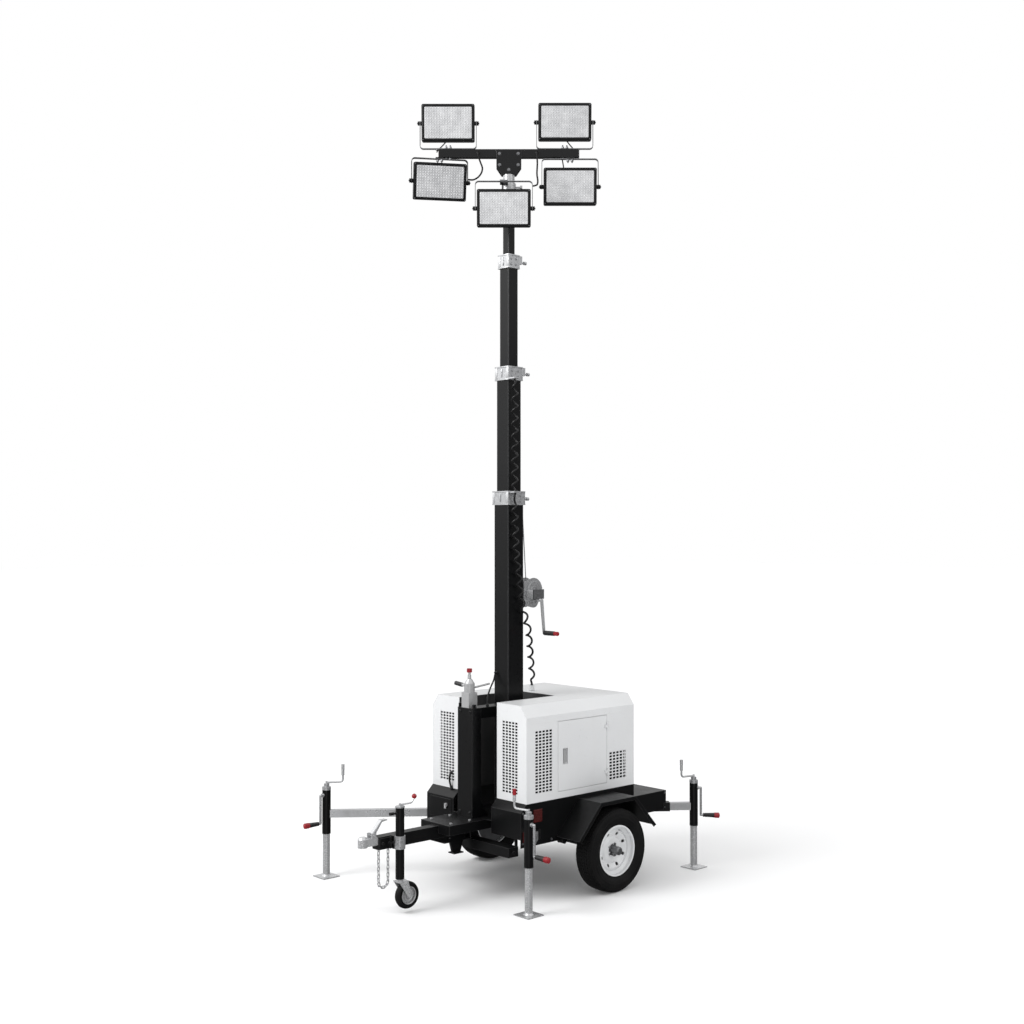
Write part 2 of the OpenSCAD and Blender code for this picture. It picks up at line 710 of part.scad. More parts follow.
module jockey_fork() {
    axle_x = jockey_x + jockey_trail;
    axle_z = jockey_low + jockey_d / 2;
    crown = axle_z + jockey_d / 2 + 8;
    out = jockey_half + 9;
    color("#a9acaf") {
        translate([jockey_x, jockey_y, crown]) cylinder(h = 480, d = jockey_stem_d);
        block([jockey_x - 32, jockey_x + 54], [jockey_y - out, jockey_y + out], [crown - 1, crown + 7]);
        for (s = [-1, 1]) plate_xz(jockey_y + (s > 0 ? out - 5 : -out), jockey_y + (s > 0 ? out : -out + 5))
            difference() {
                hull() {
                    translate([axle_x, axle_z]) circle(18, $fn = 32);
                    translate([jockey_x - 28, crown - 1]) square([78, 4]);
                }
                translate([axle_x, axle_z]) circle(6);
            }
        rod([axle_x, jockey_y - out - 6, axle_z], [axle_x, jockey_y + out + 6, axle_z], 11.4);
        rod([axle_x, jockey_y - out - 6, axle_z], [axle_x, jockey_y - out, axle_z], 22, 6);
        rod([axle_x, jockey_y + out, axle_z], [axle_x, jockey_y + out + 6, axle_z], 22, 6);
    }
}

module jockey_wheel() {
    r = jockey_d / 2;
    h = jockey_half;
    color("#202123") translate([jockey_x + jockey_trail, jockey_y, jockey_low + r]) rotate([90, 0, 0])
        rotate_extrude($fn = 72) polygon([
            [6, -h], [22, -h], [26, -14], [r - 36, -10], [r - 30, -h + 4], [r - 14, -h + 1], [r - 5, -h + 8],
            [r, -h + 20], [r, h - 20], [r - 5, h - 8], [r - 14, h - 1], [r - 30, h - 4], [r - 36, 10],
            [26, 14], [22, h], [6, h]]);
}

// ---------------------------------------------------------------- canopy

function canopy_outline(inset) = [
    [-half_w + inset, deck_z], [-half_w + inset, eave_z - inset * 0.35],
    [-half_w + slope_w + inset * 0.5, roof_z - inset], [half_w - slope_w - inset * 0.5, roof_z - inset],
    [half_w - inset, eave_z - inset * 0.35], [half_w - inset, deck_z]];

module canopy_roof() {
    color("#eceeef") {
        difference() {
            plate_yz(can_x0, can_x1) difference() {
                polygon(canopy_outline(0));
                polygon(canopy_outline(sheet));
                translate([-half_w - 1, deck_z - 1]) square([canopy_w + 2, lip_z - deck_z + 1]);
            }
            block([can_x0 - 1, notch_x1], [-notch_w / 2, notch_w / 2], [roof_z - 20, roof_z + 1]);
        }
    }
    // Socket that the curly cord plugs into
    color("#c3c6c8") translate([cord_run[0][0], cord_run[0][1], roof_z]) {
        cylinder(h = 6, d = 72);
        cylinder(h = socket_h - seat, d = 46);
    }
}

module canopy_side(s) {
    y0 = s > 0 ? half_w - sheet : -half_w;
    in0 = s > 0 ? half_w - sheet - 20 : -half_w + sheet - eps;
    color("#f1f2f3") difference() {
        union() {
            block([can_x0, can_x1], [y0, y0 + sheet], [deck_z + seat, wall_top]);
            // Folded frame round the doorway
            block([door_x0 - frame_w, door_x1 + frame_w], [in0, in0 + 20 + eps],
                [door_z0 - frame_w, wall_top]);
        }
        block([door_x0, door_x1], [y0 - 40, y0 + 40], [door_z0, door_z1]);
        block([door_x0 + 6, door_x1 - 6], [y0 - 60, y0 + 60], [door_z0 + 6, door_z1 - 6]);
        block(side_vent_x, [y0 - 1, y0 + sheet + 1], side_vent_z);
        block(rear_vent_x, [y0 - 1, y0 + sheet + 1], rear_vent_z);
    }
    color("#f1f2f3") hinge_fixed(s);
}

module canopy_ends() {
    color("#f1f2f3") {
        plate_yz(can_x0, can_x0 + sheet) difference() {
            end_outline();
            translate([-notch_w / 2, deck_z - 1]) square([notch_w, roof_z - deck_z + 2]);
            for (s = [-1, 1]) end_vent(s, 0);
        }
        plate_yz(can_x1 - sheet, can_x1) difference() {
            end_outline();
            for (s = [-1, 1]) end_vent(s, 0);
        }
    }
}

module end_outline() {
    g = sheet + seat;
    polygon([[-half_w + g, deck_z + seat], [-half_w + g, eave_z - 0.35 * g],
        [-half_w + slope_w + 0.5 * g, roof_z - g], [half_w - slope_w - 0.5 * g, roof_z - g],
        [half_w - g, eave_z - 0.35 * g], [half_w - g, deck_z + seat]]);
}

module end_vent(s, inset) {
    y0 = s > 0 ? end_vent_y[0] : -end_vent_y[1];
    translate([y0 + inset, end_vent_z[0] + inset])
        square([end_vent_y[1] - end_vent_y[0] - 2 * inset, end_vent_z[1] - end_vent_z[0] - 2 * inset]);
}

// A punched panel: columns and rows of slots in a plate that fits its cut-out
module grille_outline(w, h, columns, rows) {
    pitch_u = w / columns;
    pitch_v = h / rows;
    slot_w = pitch_u * 0.72;
    slot_h = pitch_v * 0.64;
    difference() {
        translate([seat, seat]) square([w - 2 * seat, h - 2 * seat]);
        for (i = [0:columns - 1], j = [0:rows - 1])
            translate([(i + 0.5) * pitch_u - slot_w / 2, (j + 0.5) * pitch_v - slot_h / 2])
                square([slot_w, slot_h]);
    }
}

module grilles_side(s) {
    y0 = s > 0 ? half_w - sheet : -half_w;
    color("#e6e8e9") {
        plate_xz(y0, y0 + sheet) {
            translate([side_vent_x[0], side_vent_z[0]])
                grille_outline(side_vent_x[1] - side_vent_x[0], side_vent_z[1] - side_vent_z[0], 5, 20);
            translate([rear_vent_x[0], rear_vent_z[0]])
                grille_outline(rear_vent_x[1] - rear_vent_x[0], rear_vent_z[1] - rear_vent_z[0], 5, 9);
        }
    }
}

module grilles_ends() {
    w = end_vent_y[1] - end_vent_y[0];
    h = end_vent_z[1] - end_vent_z[0];
    color("#e6e8e9") for (x = [can_x0, can_x1 - sheet], s = [-1, 1])
        plate_yz(x, x + sheet) translate([s > 0 ? end_vent_y[0] : -end_vent_y[1], end_vent_z[0]])
            grille_outline(w, h, 5, 24);
}

module notch_lining() {
    top = roof_z - sheet - seat;
    color("#3a3c40") {
        for (s = [-1, 1]) block([can_x0 + sheet + seat, notch_x1 + sheet],
            [s > 0 ? notch_w / 2 : -notch_w / 2 - sheet, s > 0 ? notch_w / 2 + sheet : -notch_w / 2],
            [deck_z + seat, top]);
        block([notch_x1, notch_x1 + sheet], [-notch_w / 2 - eps, notch_w / 2 + eps], [deck_z + seat, top]);
    }
}

module genset() {
    z = deck_z + seat;
    color("#4b5a52") {
        for (y = [-150, 120]) block([-60, 400], [y, y + 30], [z, z + 60]);
        block([-40, 170], [-150, 150], [z + 60 - eps, z + 430]);
        block([-20, 150], [-95, 95], [z + 430 - eps, z + 520]);
        translate([170 - eps, 0, z + 240]) rotate([0, 90, 0]) cylinder(h = 225, d = 320);
    }
    color("#2b2d2f") block([-105, -75], [-190, 190], [z, z + 470]);
    color("#2b2d2f") block([-76, -39], [-40, 40], [z + 180, z + 260]);
}

// Door hinges: the axis stands just outside the skin, behind the door's rear edge
hinge_x = door_x1 - door_gap / 2;
hinge_y = half_w + 5.8;
hinge_d = 11;
hinge_pin = 5;
hinge_zs = [door_z0 + 90, door_z1 - 90];

module hinge_fixed(s) {
    for (z = hinge_zs) {
        translate([hinge_x, s * hinge_y, z - 30]) cylinder(h = 60, d = hinge_pin);
        for (dz = [-30, 12]) translate([hinge_x, s * hinge_y, z + dz]) cylinder(h = 18, d = hinge_d);
        for (dz = [-30, 12]) block([hinge_x + 1, hinge_x + 26],
            s > 0 ? [half_w - eps, hinge_y + 2] : [-hinge_y - 2, -half_w + eps], [z + dz, z + dz + 18]);
    }
}

module hinge_moving(s) {
    for (z = hinge_zs) difference() {
        union() {
            translate([hinge_x, s * hinge_y, z - 11.5]) cylinder(h = 23, d = hinge_d);
            block([hinge_x - 26, hinge_x - 1],
                s > 0 ? [half_w - eps, hinge_y + 2] : [-hinge_y - 2, -half_w + eps], [z - 11.5, z + 11.5]);
        }
        translate([hinge_x, s * hinge_y, z - 12]) cylinder(h = 24, d = hinge_pin + 2 * seat);
    }
}

module door(s) {
    y0 = s > 0 ? half_w - door_t : -half_w;
    g = door_gap;
    x = [door_x0 + g, door_x1 - g];
    z = [door_z0 + g, door_z1 - g];
    skin = s > 0 ? half_w - sheet : -half_w;
    lip = s > 0 ? [half_w - door_t, half_w - sheet + eps] : [-half_w + sheet - eps, -half_w + door_t];
    pocket = [x[0] + 53, x[0] + 108];
    pocket_z = [door_z0 + 209, door_z0 + 333];
    color("#f3f4f5") difference() {
        union() {
            block(x, [skin, skin + sheet], z);
            difference() {
                block([x[0], x[1]], lip, z);
                block([x[0] + sheet, x[1] - sheet], [y0 - 30, y0 + 50], [z[0] + sheet, z[1] - sheet]);
            }
            block([pocket[0] - 3, pocket[1] + 3], lip, [pocket_z[0] - 3, pocket_z[1] + 3]);
        }
        block(pocket, s > 0 ? [half_w - 12, half_w + 1] : [-half_w - 1, -half_w + 12], pocket_z);
    }
    color("#f3f4f5") hinge_moving(s);
    color("#9a9da0") block([pocket[0] + 8, pocket[1] - 12],
        s > 0 ? [half_w - 12 - eps, half_w - 2] : [-half_w + 2, -half_w + 12 + eps],
        [pocket_z[0] + 10, pocket_z[1] - 10]);
}

// ---------------------------------------------------------------- mast

module front_post() {
    x = [post_x0, post_x1];
    w = [-post_half, post_half];
    color("#141518") {
        difference() {
            block(x, w, [step_z, post_top]);
            block([x[0] + 6, x[1] - 6], [-post_half + 6, post_half - 6], [step_z + 6, post_top - 20]);
            translate([(x[0] + x[1]) / 2, 0, post_top - 21]) cylinder(h = 22, d = 30);
        }
        // Ears that hold the lock head, and stiffeners at the foot
        for (y = [-post_half, post_half - 10]) block([x[0] + 8, x[0] + 40], [y, y + 10],
            [post_top - eps, post_top + 30]);
        for (s = [-1, 1]) plate_xz(s > 0 ? post_half - 10 : -post_half, s > 0 ? post_half : -post_half + 10)
            polygon([[x[1] - eps, step_z], [x[1] + 70, step_z], [x[1] - eps, step_z + 130]]);
        // Strap from the post to the mast
        block([x[1] - eps, -mast_x - mast_w[0] / 2 - seat], [-60, 60], strap_z);
    }
    color("#b9bcbf") for (y = [-60, 60], z = [post_top - 30, step_z + 40])
        translate([x[0], y, z]) rotate([0, -90, 0]) hex_bolt(22, 8);
}

module lock_head() {
    x = (post_x0 + post_x1) / 2;
    z = post_top;
    color("#c2c5c8") difference() {
        union() {
            block([x - 44, x + 44], [-44, 44], [z, z + 118]);
            translate([x, 0, z + 118 - eps]) cylinder(h = 72, d = 84);
            translate([x, 0, z + 190 - eps]) cylinder(h = 34, d1 = 80, d2 = 40, $fn = 48);
            rod([x + 30, 0, z + 150], [x + 210, 0, z + 170], 16);
            rod([x, 40, z + 165], [x, 90, z + 170], 20);
        }
        translate([x, 0, z - 1]) cylinder(h = 300, d = 20 + 2 * seat);
    }
    color("#202124") rod([x, 88, z + 170], [x, 168, z + 178], 34);
}

module lock_plunger() {
    x = (post_x0 + post_x1) / 2;
    z = post_top;
    color("#d0d3d5") {
        translate([x, 0, z - 10]) cylinder(h = 290, d = 20);
        translate([x, 0, z + 226]) cylinder(h = 30, d = 28);
    }
    color("#b3202a") translate([x, 0, z + 276]) cylinder(h = 30, d = 42);
}

module collar(w_in, z, w_out) {
    difference() {
        translate([0, 0, z]) linear_extrude(collar_h) rounded_square(w_out, 8);
        translate([0, 0, z - 1]) linear_extrude(collar_h + 2) rounded_square(w_in, 4);
    }
}

// Lock of a collar, on its rear face near the left corner: a block, a stem and a knob
module collar_lock(z, w_out, deep) {
    y = -w_out / 2 + 15;
    out = w_out / 2 + deep;
    mid = z + collar_h * 0.45;
    if (deep > 0) block([w_out / 2 - eps, out], [y - 12, y + 26], [mid - 8, z + collar_h - 4]);
    rod([out - 2, y, mid + (deep > 0 ? 8 : 0)], [out + 26, y, mid + (deep > 0 ? 8 : 0)], 14);
    rod([out + 26, y, mid + (deep > 0 ? 8 : 0)], [out + 50, y, mid + (deep > 0 ? 8 : 0)], 28);
}

module at_mast() translate([-mast_x, mast_y, 0]) children();

module mast_base() {
    at_mast() {
        color("#121316") {
            square_tube(mast_w[0], mast_wall, mast_foot, collar_z - seat);
            // Foot flange with its bolts
            difference() {
                block([-102, 102], [-102, 102], [mast_foot, mast_foot + 12]);
                block([-70, 70], [-70, 70], [mast_foot - 1, mast_foot + 13]);
            }
        }
        color("#b4b7ba") {
            collar(mast_w[1] + 2 * mast_fit, collar_z, collar_w[0]);
            collar_lock(collar_z, collar_w[0], 0);
            // Clip that holds the curly cord
            block([cord_x + mast_x - 34, cord_x + mast_x + 34],
                [cord_y - mast_y - cord_d / 2 - 4, -collar_w[0] / 2 + eps],
                [collar_z1 - 16, collar_z1 - 4]);
        }
    }
}

module mast_section(i, z_low, z_top, w) {
    at_mast() {
        color("#121316") square_tube(w, mast_wall, z_low, i < 3 ? z_top - seat : z_top);
        if (i < 3) {
            color("#b4b7ba") {
                collar(mast_w[i + 1] + 2 * mast_fit, z_top, collar_w[i]);
                collar_lock(z_top, collar_w[i], 34);
            }
        }
    }
}

module mast_2() {
    mast_section(1, collar_z1 - mast_in, collar_2, mast_w[1]);
    // Clip at the upper end of the curly cord
    color("#b4b7ba") at_mast() block([cord_x + mast_x - 34, cord_x + mast_x + 34],
        [cord_y - cord_d / 2 - 4, -collar_w[1] / 2 + eps], [collar_2 + 4, collar_2 + 16]);
}

module mast_3() mast_section(2, collar_2 + collar_h - mast_in + 250, collar_3, mast_w[2]);

module mast_4() {
    at_mast() {
        color("#121316")
             square_tube(mast_w[3], mast_wall, collar_3 + collar_h - mast_in + 500, mast_top - 20);
        color("#a9acaf") {
            translate([0, 0, mast_top - 20 - eps]) cylinder(h = 20, d = 100);
            translate([0, 0, mast_top - eps]) cylinder(h = 60, d = 40);
        }
    }
}

module winch() {
    face = -mast_x + mast_w[0] / 2 + seat;
    color("#b9bcbf") {
        // Back plate, two cheeks and the drum between them
        block([face, face + 6], [-90, 70], [winch_z - 100, winch_z + 100]);
        for (y = [winch_y, winch_y + 100]) plate_xz(y, y + 5) difference() {
            hull() {
                translate([face + 3, winch_z - 96]) square([10, 192]);
                translate([winch_x, winch_z + 32]) circle(96, $fn = 48);
                translate([winch_x, winch_z - winch_shaft - 8]) circle(52, $fn = 32);
            }
            translate([winch_x, winch_z + 30]) circle(9);
            translate([winch_x, winch_z - winch_shaft]) circle(9.3);
        }
        rod([winch_x, winch_y - 24, winch_z + 30], [winch_x, winch_y + 112, winch_z + 30], 18);
        rod([winch_x, winch_y + 5 + seat, winch_z + 30],
             [winch_x, winch_y + 100 - seat, winch_z + 30], 74, 48);
        // Gear outside the near cheek
        rod([winch_x, winch_y - 6 - seat, winch_z + 30], [winch_x, winch_y - seat, winch_z + 30], 150, 72);
    }
    color("#55585c") block([winch_x - 40, winch_x + 78], [winch_y - 42, winch_y - 6],
        [winch_z - winch_shaft + 12, winch_z + 34]);
    // Rope from the drum up the rear of the mast, over to the next section
    color("#85888c") rod([winch_x - 36, winch_y + 50, winch_z + 34],
        [-mast_x + mast_w[0] / 2 + 20, winch_y + 50, collar_z + 20], 8, 16);
    color("#b4b7ba") block([-mast_x + collar_w[0] / 2 + seat, -mast_x + collar_w[0] / 2 + 22],
        [winch_y + 30, winch_y + 70], [collar_z + 10, collar_z + 60]);
}

module winch_crank() {
    y = crank_y;
    z = winch_z - winch_shaft;
    color("#b9bcbf") {
        rod([winch_x, winch_y + 30, z], [winch_x, y - 4, z], 18);
        plate_xz(y - 4, y + 4) hull() {
            translate([winch_x, z]) circle(16, $fn = 32);
            translate([winch_x + 26, z - 262]) circle(13, $fn = 32);
        }
    }
    color("#1d1e20") rod([winch_x + 26, y - 4 - eps, z - 262], [winch_x + 26, y - 90, z - 262], 32);
    color("#b3202a") rod([winch_x + 26, y - 90, z - 262], [winch_x + 26, y - 160, z - 262], 34);
}

module cord_lower() {
    color("#17181a") sweep(concat(cord_run, [[cord_x, cord_y, collar_z1 - 140],
        [cord_x, cord_y, collar_z1 - 16 - seat]]), cord_d, 10);
}

module cord_upper() {
    color("#17181a") translate([cord_x, cord_y, collar_z1 - 4 + seat])
        cylinder(h = collar_2 + 4 - collar_z1 + 4 - 2 * seat, d = cord_d, $fn = 10);
}

module mast_cables() {
    color("#1a1b1d") {
        // From the post's strap over to the mast
        sweep([[-690, -30, strap_z[1] + seat], [-690, -28, 1490], [-660, -5, 1540], [-600, 35, 1590],
            [-545, 52, 1640], [-mast_x - mast_w[0] / 2 - 7.3, 56, 1700]], 14, 8);
        // Down the front of the canopy to the locker
        sweep([[can_x0 - 8, 320, 890], [can_x0 - 22, 318, 860], [can_x0 - 24, 316, 820],
            [can_x0 - 18, 316, 782], [can_x0 - 8, 316, 764]], 16, 8);
    }
}

// ---------------------------------------------------------------- light head

module at_head() translate([-mast_x, mast_y, 0]) rotate([0, 0, head_turn]) children();

function lamp_up(i) = lamp_dz[i] > 0 ? 1 : -1;
function lamp_pos(i) = [lamp_lat[i], lamp_y[i], bar_z + lamp_dz[i]];

// A point given from the middle of a lamp, turned with its yoke
function lamp_point(i, v) = lamp_pos(i) + [v[0] * cos(lamp_yaw[i]) - v[1] * sin(lamp_yaw[i]),
    v[0] * sin(lamp_yaw[i]) + v[1] * cos(lamp_yaw[i]), v[2]];

// Where a yoke bolts on: above or below the bar, or the bracket on the swivel
function yoke_base(i) = i == 4 ? bar_z + lamp_dz[i] + lamp_h / 2 + 69
    : bar_z + lamp_up(i) * (bar_w / 2 + 10);

module at_lamp(i) at_head() translate(lamp_pos(i)) rotate([0, 0, lamp_yaw[i]]) children();

// A strap bent to a U whose legs stand on the pivot line and whose base lies at a height
module yoke_strap(reach, base) {
    way = base < 0 ? -1 : 1;
    high = abs(base) + yoke_t / 2;
    scale([1, way]) difference() {
        yoke_block(reach, high, yoke_bend);
        yoke_block(reach - yoke_t, high - yoke_t, yoke_bend - yoke_t);
    }
}

module yoke_block(reach, high, r) {
    translate([-reach, 0]) square([2 * reach, high - r]);
    translate([-reach + r, 0]) square([2 * (reach - r), high]);
    for (x = [-reach + r, reach - r]) translate([x, high - r]) circle(r, $fn = 48);
}

module yoke(i) {
    reach = lamp_w / 2 + yoke_gap;
    base = yoke_base(i) - (bar_z + lamp_dz[i]);
    at_lamp(i) difference() {
        union() {
            plate_xz(-yoke_half, yoke_half) yoke_strap(reach, base);
            for (s = [-1, 1]) plate_yz(s > 0 ? reach - yoke_t : -reach, s > 0 ? reach : -reach + yoke_t)
                circle(20);
        }
        translate([-reach - 1, 0, 0]) rotate([0, 90, 0]) cylinder(h = 2 * reach + 2, d = 12.6);
    }
}

module t_bar() {
    w = bar_w / 2;
    color("#17181b") {
        at_head() {
            difference() {
                block([-bar_l / 2, bar_l / 2], [-w, w], [bar_z - w, bar_z + w]);
                block([-bar_l / 2 - 1, bar_l / 2 + 1], [-w + 4, w - 4], [bar_z - w + 4, bar_z + w - 4]);
            }
            for (s = [-1, 1]) block([s * bar_l / 2 - 3, s * bar_l / 2 + 3], [-w - 2, w + 2],
                [bar_z - w - 2, bar_z + w + 2]);
            // Centre bracket
            for (y = [-w - 8, w]) plate_xz(y, y + 8) polygon([[-102, bar_z + w - 6], [102, bar_z + w - 6],
                [102, head_z + swivel_h + 62], [60, head_z + swivel_h], [-60, head_z + swivel_h],
                [-102, head_z + swivel_h + 62]]);
            block([-60, 60], [-w - 8, w + 8], [head_z + swivel_h - eps, head_z + swivel_h + 8]);
            // Pads between the bar and its yokes, and the arm that carries the lowest yoke
            for (i = [0:3]) block([lamp_lat[i] - 32, lamp_lat[i] + 32], [-w + 4, w - 4],
                lamp_up(i) > 0 ? [bar_z + w - eps, bar_z + w + 10 - yoke_t / 2 + eps]
                    : [bar_z - w - 10 + yoke_t / 2 - eps, bar_z - w + eps]);
            block([lamp_lat[4] - 32, lamp_lat[4] + 32], [lamp_y[4] - 20, -46],
                [yoke_base(4) + yoke_t / 2 - eps, yoke_base(4) + yoke_t / 2 + 8]);
        }
        for (i = [0:4]) yoke(i);
    }
    // Swivel that turns on the top of the mast
    color("#a9acaf") at_head() {
        difference() {
            union() {
                translate([0, 0, head_z + seat]) cylinder(h = 64, d = 118);
                translate([0, 0, head_z + 60]) cylinder(h = swivel_h - 60, d = 96);
            }
            translate([0, 0, head_z - 1]) cylinder(h = 63, d = 40 + 2 * seat);
        }
        rod([56, 0, head_z + 36], [92, 0, head_z + 36], 16);
        rod([92, 0, head_z + 36], [110, 0, head_z + 36], 34);
    }
}

module lamp(i) {
    w = lamp_w / 2;
    h = lamp_h / 2;
    at_lamp(i) rotate([lamp_tilt[i], 0, 0]) {
        color("#17181a") {
            // Bezel and body; the face looks along -Y
            translate([0, lamp_t / 2 - 6, 0]) rotate([90, 0, 0]) linear_extrude(lamp_t) offset_box(w, h, 14);
            // Cooling fins behind
            for (x = [-w + 36:22:w - 30]) block([x, x + 5], [lamp_t / 2 - 6 - eps, lamp_t / 2 + 26],
                [-h + 26, h - 26]);
            // Pivot bosses and lock knobs
            for (s = [-1, 1]) {
                rod([s * (w - 2), 0, 0], [s * (w + yoke_gap - yoke_t - seat), 0, 0], 34);
                rod([s * (w - 2), 0, 0], [s * (w + yoke_gap + 8), 0, 0], 12);
                rod([s * (w + yoke_gap + seat), 0, 0], [s * (w + yoke_gap + 16), 0, 0], 34);
            }
        }
        color("#e9ebec") translate([0, -lamp_t / 2 - 6 + eps, 0]) rotate([90, 0, 0])
            linear_extrude(4) offset_box(w - 24, h - 24, 8);
    }
}

module offset_box(w, h, r) {
    union() {
        square([2 * w, 2 * (h - r)], center = true);
        square([2 * (w - r), 2 * h], center = true);
        for (x = [-w + r, w - r], y = [-h + r, h - r]) translate([x, y]) circle(r, $fn = 32);
    }
}

module lamp_leads() {
    color("#1a1b1d") at_head() {
        w = bar_w / 2;
        face = -w - lead_d / 2 - seat;
        reach = lamp_w / 2 + yoke_gap + seat + 0.3;
        sweep([[-250, face, bar_z + 20], [-250, face, bar_z - 24], [-232, face, bar_z - 78],
            [-216, face + 6, bar_z - 130], lamp_point(2, [reach + 92, -8, 62]),
            lamp_point(2, [reach + 48, 0, 30]), lamp_point(2, [reach, 0, 28])], lead_d, 8);
        sweep([[230, face, bar_z + 20], [230, face, bar_z - 24], [232, -w - 40, bar_z - 96],
            [228, -w - 80, bar_z - 190], lamp_point(4, [reach + 36, 0, 190]),
            lamp_point(4, [reach + 12, 0, 176]), lamp_point(4, [reach, 0, 176])], lead_d, 8);
    }
}

// ---------------------------------------------------------------- outriggers and jacks

module at_jack(i) translate([jack_x(i), jack_y(i), 0]) children();

module outrigger(i) {
    at_jack(i) {
        // Beam with its end plug
        color("#c7cacd") rotate([0, 0, beam_turn(i)]) difference() {
            block([-beam_len[i % 2], -jack_d / 2 + 4], [-beam_w / 2, beam_w / 2],
                [beam_z - beam_w / 2, beam_z + beam_w / 2]);
            block([-beam_len[i % 2] - 1, -jack_d / 2 - 16], [-beam_w / 2 + 5, beam_w / 2 - 5],
                [beam_z - beam_w / 2 + 5, beam_z + beam_w / 2 - 5]);
        }
        // Jack tube with its cap
        color("#17181b") tube(jack_d, leg_d + 2, jack_z[0], jack_z[1]);
        color("#b9bcbf") {
            difference() {
                union() {
                    translate([0, 0, jack_z[1] - eps]) cylinder(h = 26, d = jack_d + 2);
                    translate([0, 0, jack_z[1] + 26 - 2 * eps])
                         cylinder(h = cap_top - jack_z[1] - 40, d = 46);
                }
                translate([0, 0, jack_z[1] - 1]) cylinder(h = 80, d = 18 + 2 * seat);
            }
            // Side crank: a round bar bent twice
            rotate([0, 0, side_turn[i]]) {
                rod([jack_d / 2 - 3, 0, side_top], [side_out, 0, side_top], side_rod);
                rod([jack_d / 2 - 3, 0, side_top], [jack_d / 2 + 6, 0, side_top], 34);
                for (z = [side_top, side_low]) translate([side_out, 0, z]) sphere(d = side_rod, $fn = 32);
                rod([side_out, 0, side_top], [side_out, 0, side_low], side_rod);
                rod([side_out, 0, side_low], [side_out + 30, 0, side_low], side_rod);
            }
        }
        rotate([0, 0, side_turn[i]]) translate([0, 0, side_low]) rotate([0, 90, 0]) {
            color("#1b1c1e") translate([0, 0, side_out + 18])
                cylinder(h = crank_reach - 40 - side_out - 18, d1 = 30, d2 = 38, $fn = 32);
            color("#b3202a") translate([0, 0, crank_reach - 40 - eps]) cylinder(h = 40, d = grip_d, $fn = 32);
        }
    }
}

module jack_leg(i) {
    at_jack(i) color("#c2c5c8") {
        difference() {
            translate([0, 0, foot_t - eps]) cylinder(h = leg_h, d = leg_d);
            translate([0, 0, 300]) cylinder(h = leg_h, d = 24);
        }
        block([-foot_w / 2, foot_w / 2], [-foot_w / 2, foot_w / 2], [0, foot_t]);
        translate([0, 0, foot_t - eps]) cylinder(h = 12, d1 = leg_d + 22, d2 = leg_d, $fn = 48);
    }
}

module jack_crank(i) {
    at_jack(i) rotate([0, 0, top_turn[i]]) {
        color("#b9bcbf") {
            translate([0, 0, jack_z[1] - 12]) cylinder(h = cap_top + 6 - jack_z[1] + 12, d = 18);
            sweep([[4, 0, cap_top - 4], [110, 0, cap_top - 3], [123, 0, cap_top], [131, 0, cap_top + 8],
                [134, 0, cap_top + 20], [134, 0, cap_top + 60]], 17, 12);
            translate([134, 0, cap_top + 52]) cylinder(h = 44, d = 26);
        }
        color(i == 0 ? "#b3202a" : "#b9bcbf") translate([134, 0, cap_top + 96 - eps])
             cylinder(h = 46, d = 28);
    }
}

placed() base_frame();
placed() outrigger_sleeves();
placed() tongue();
placed() locker_door();
placed() fenders();
placed() axle();
placed() coupler();
placed() safety_chain();
placed() canopy_roof();
placed() canopy_side(-1);  // canopy_left
placed() canopy_side(1);  // canopy_right
placed() canopy_ends();
placed() notch_lining();
placed() grilles_side(-1);  // grilles_left
placed() grilles_side(1);  // grilles_right
placed() grilles_ends();
placed() genset();
placed() front_post();
placed() lock_head();
placed() mast_base();
placed() winch();
placed() cord_lower();
placed() mast_cables();
placed() lock_plunger();
placed() door(-1);  // door_left
placed() door(1);  // door_right
placed() tyre(-1);  // tyre_left
placed() rim(-1);  // rim_left
placed() tyre(1);  // tyre_right
placed() rim(1);  // rim_right
placed() coupler_handle();
placed() jockey_tube();
placed() jockey_crank();
placed() jockey_fork();
placed() jockey_wheel();
placed() mast_2();
placed() mast_3();
placed() mast_4();
placed() winch_crank();
placed() t_bar();
placed() lamp_leads();
placed() cord_upper();
for (i = [0:4]) {
    placed() lamp(i);
}
for (i = [0:3]) {
    placed() outrigger(i);
    placed() jack_leg(i);
    placed() jack_crank(i);
}
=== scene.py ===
import math

import bmesh
import bpy
from mathutils import Matrix, Vector


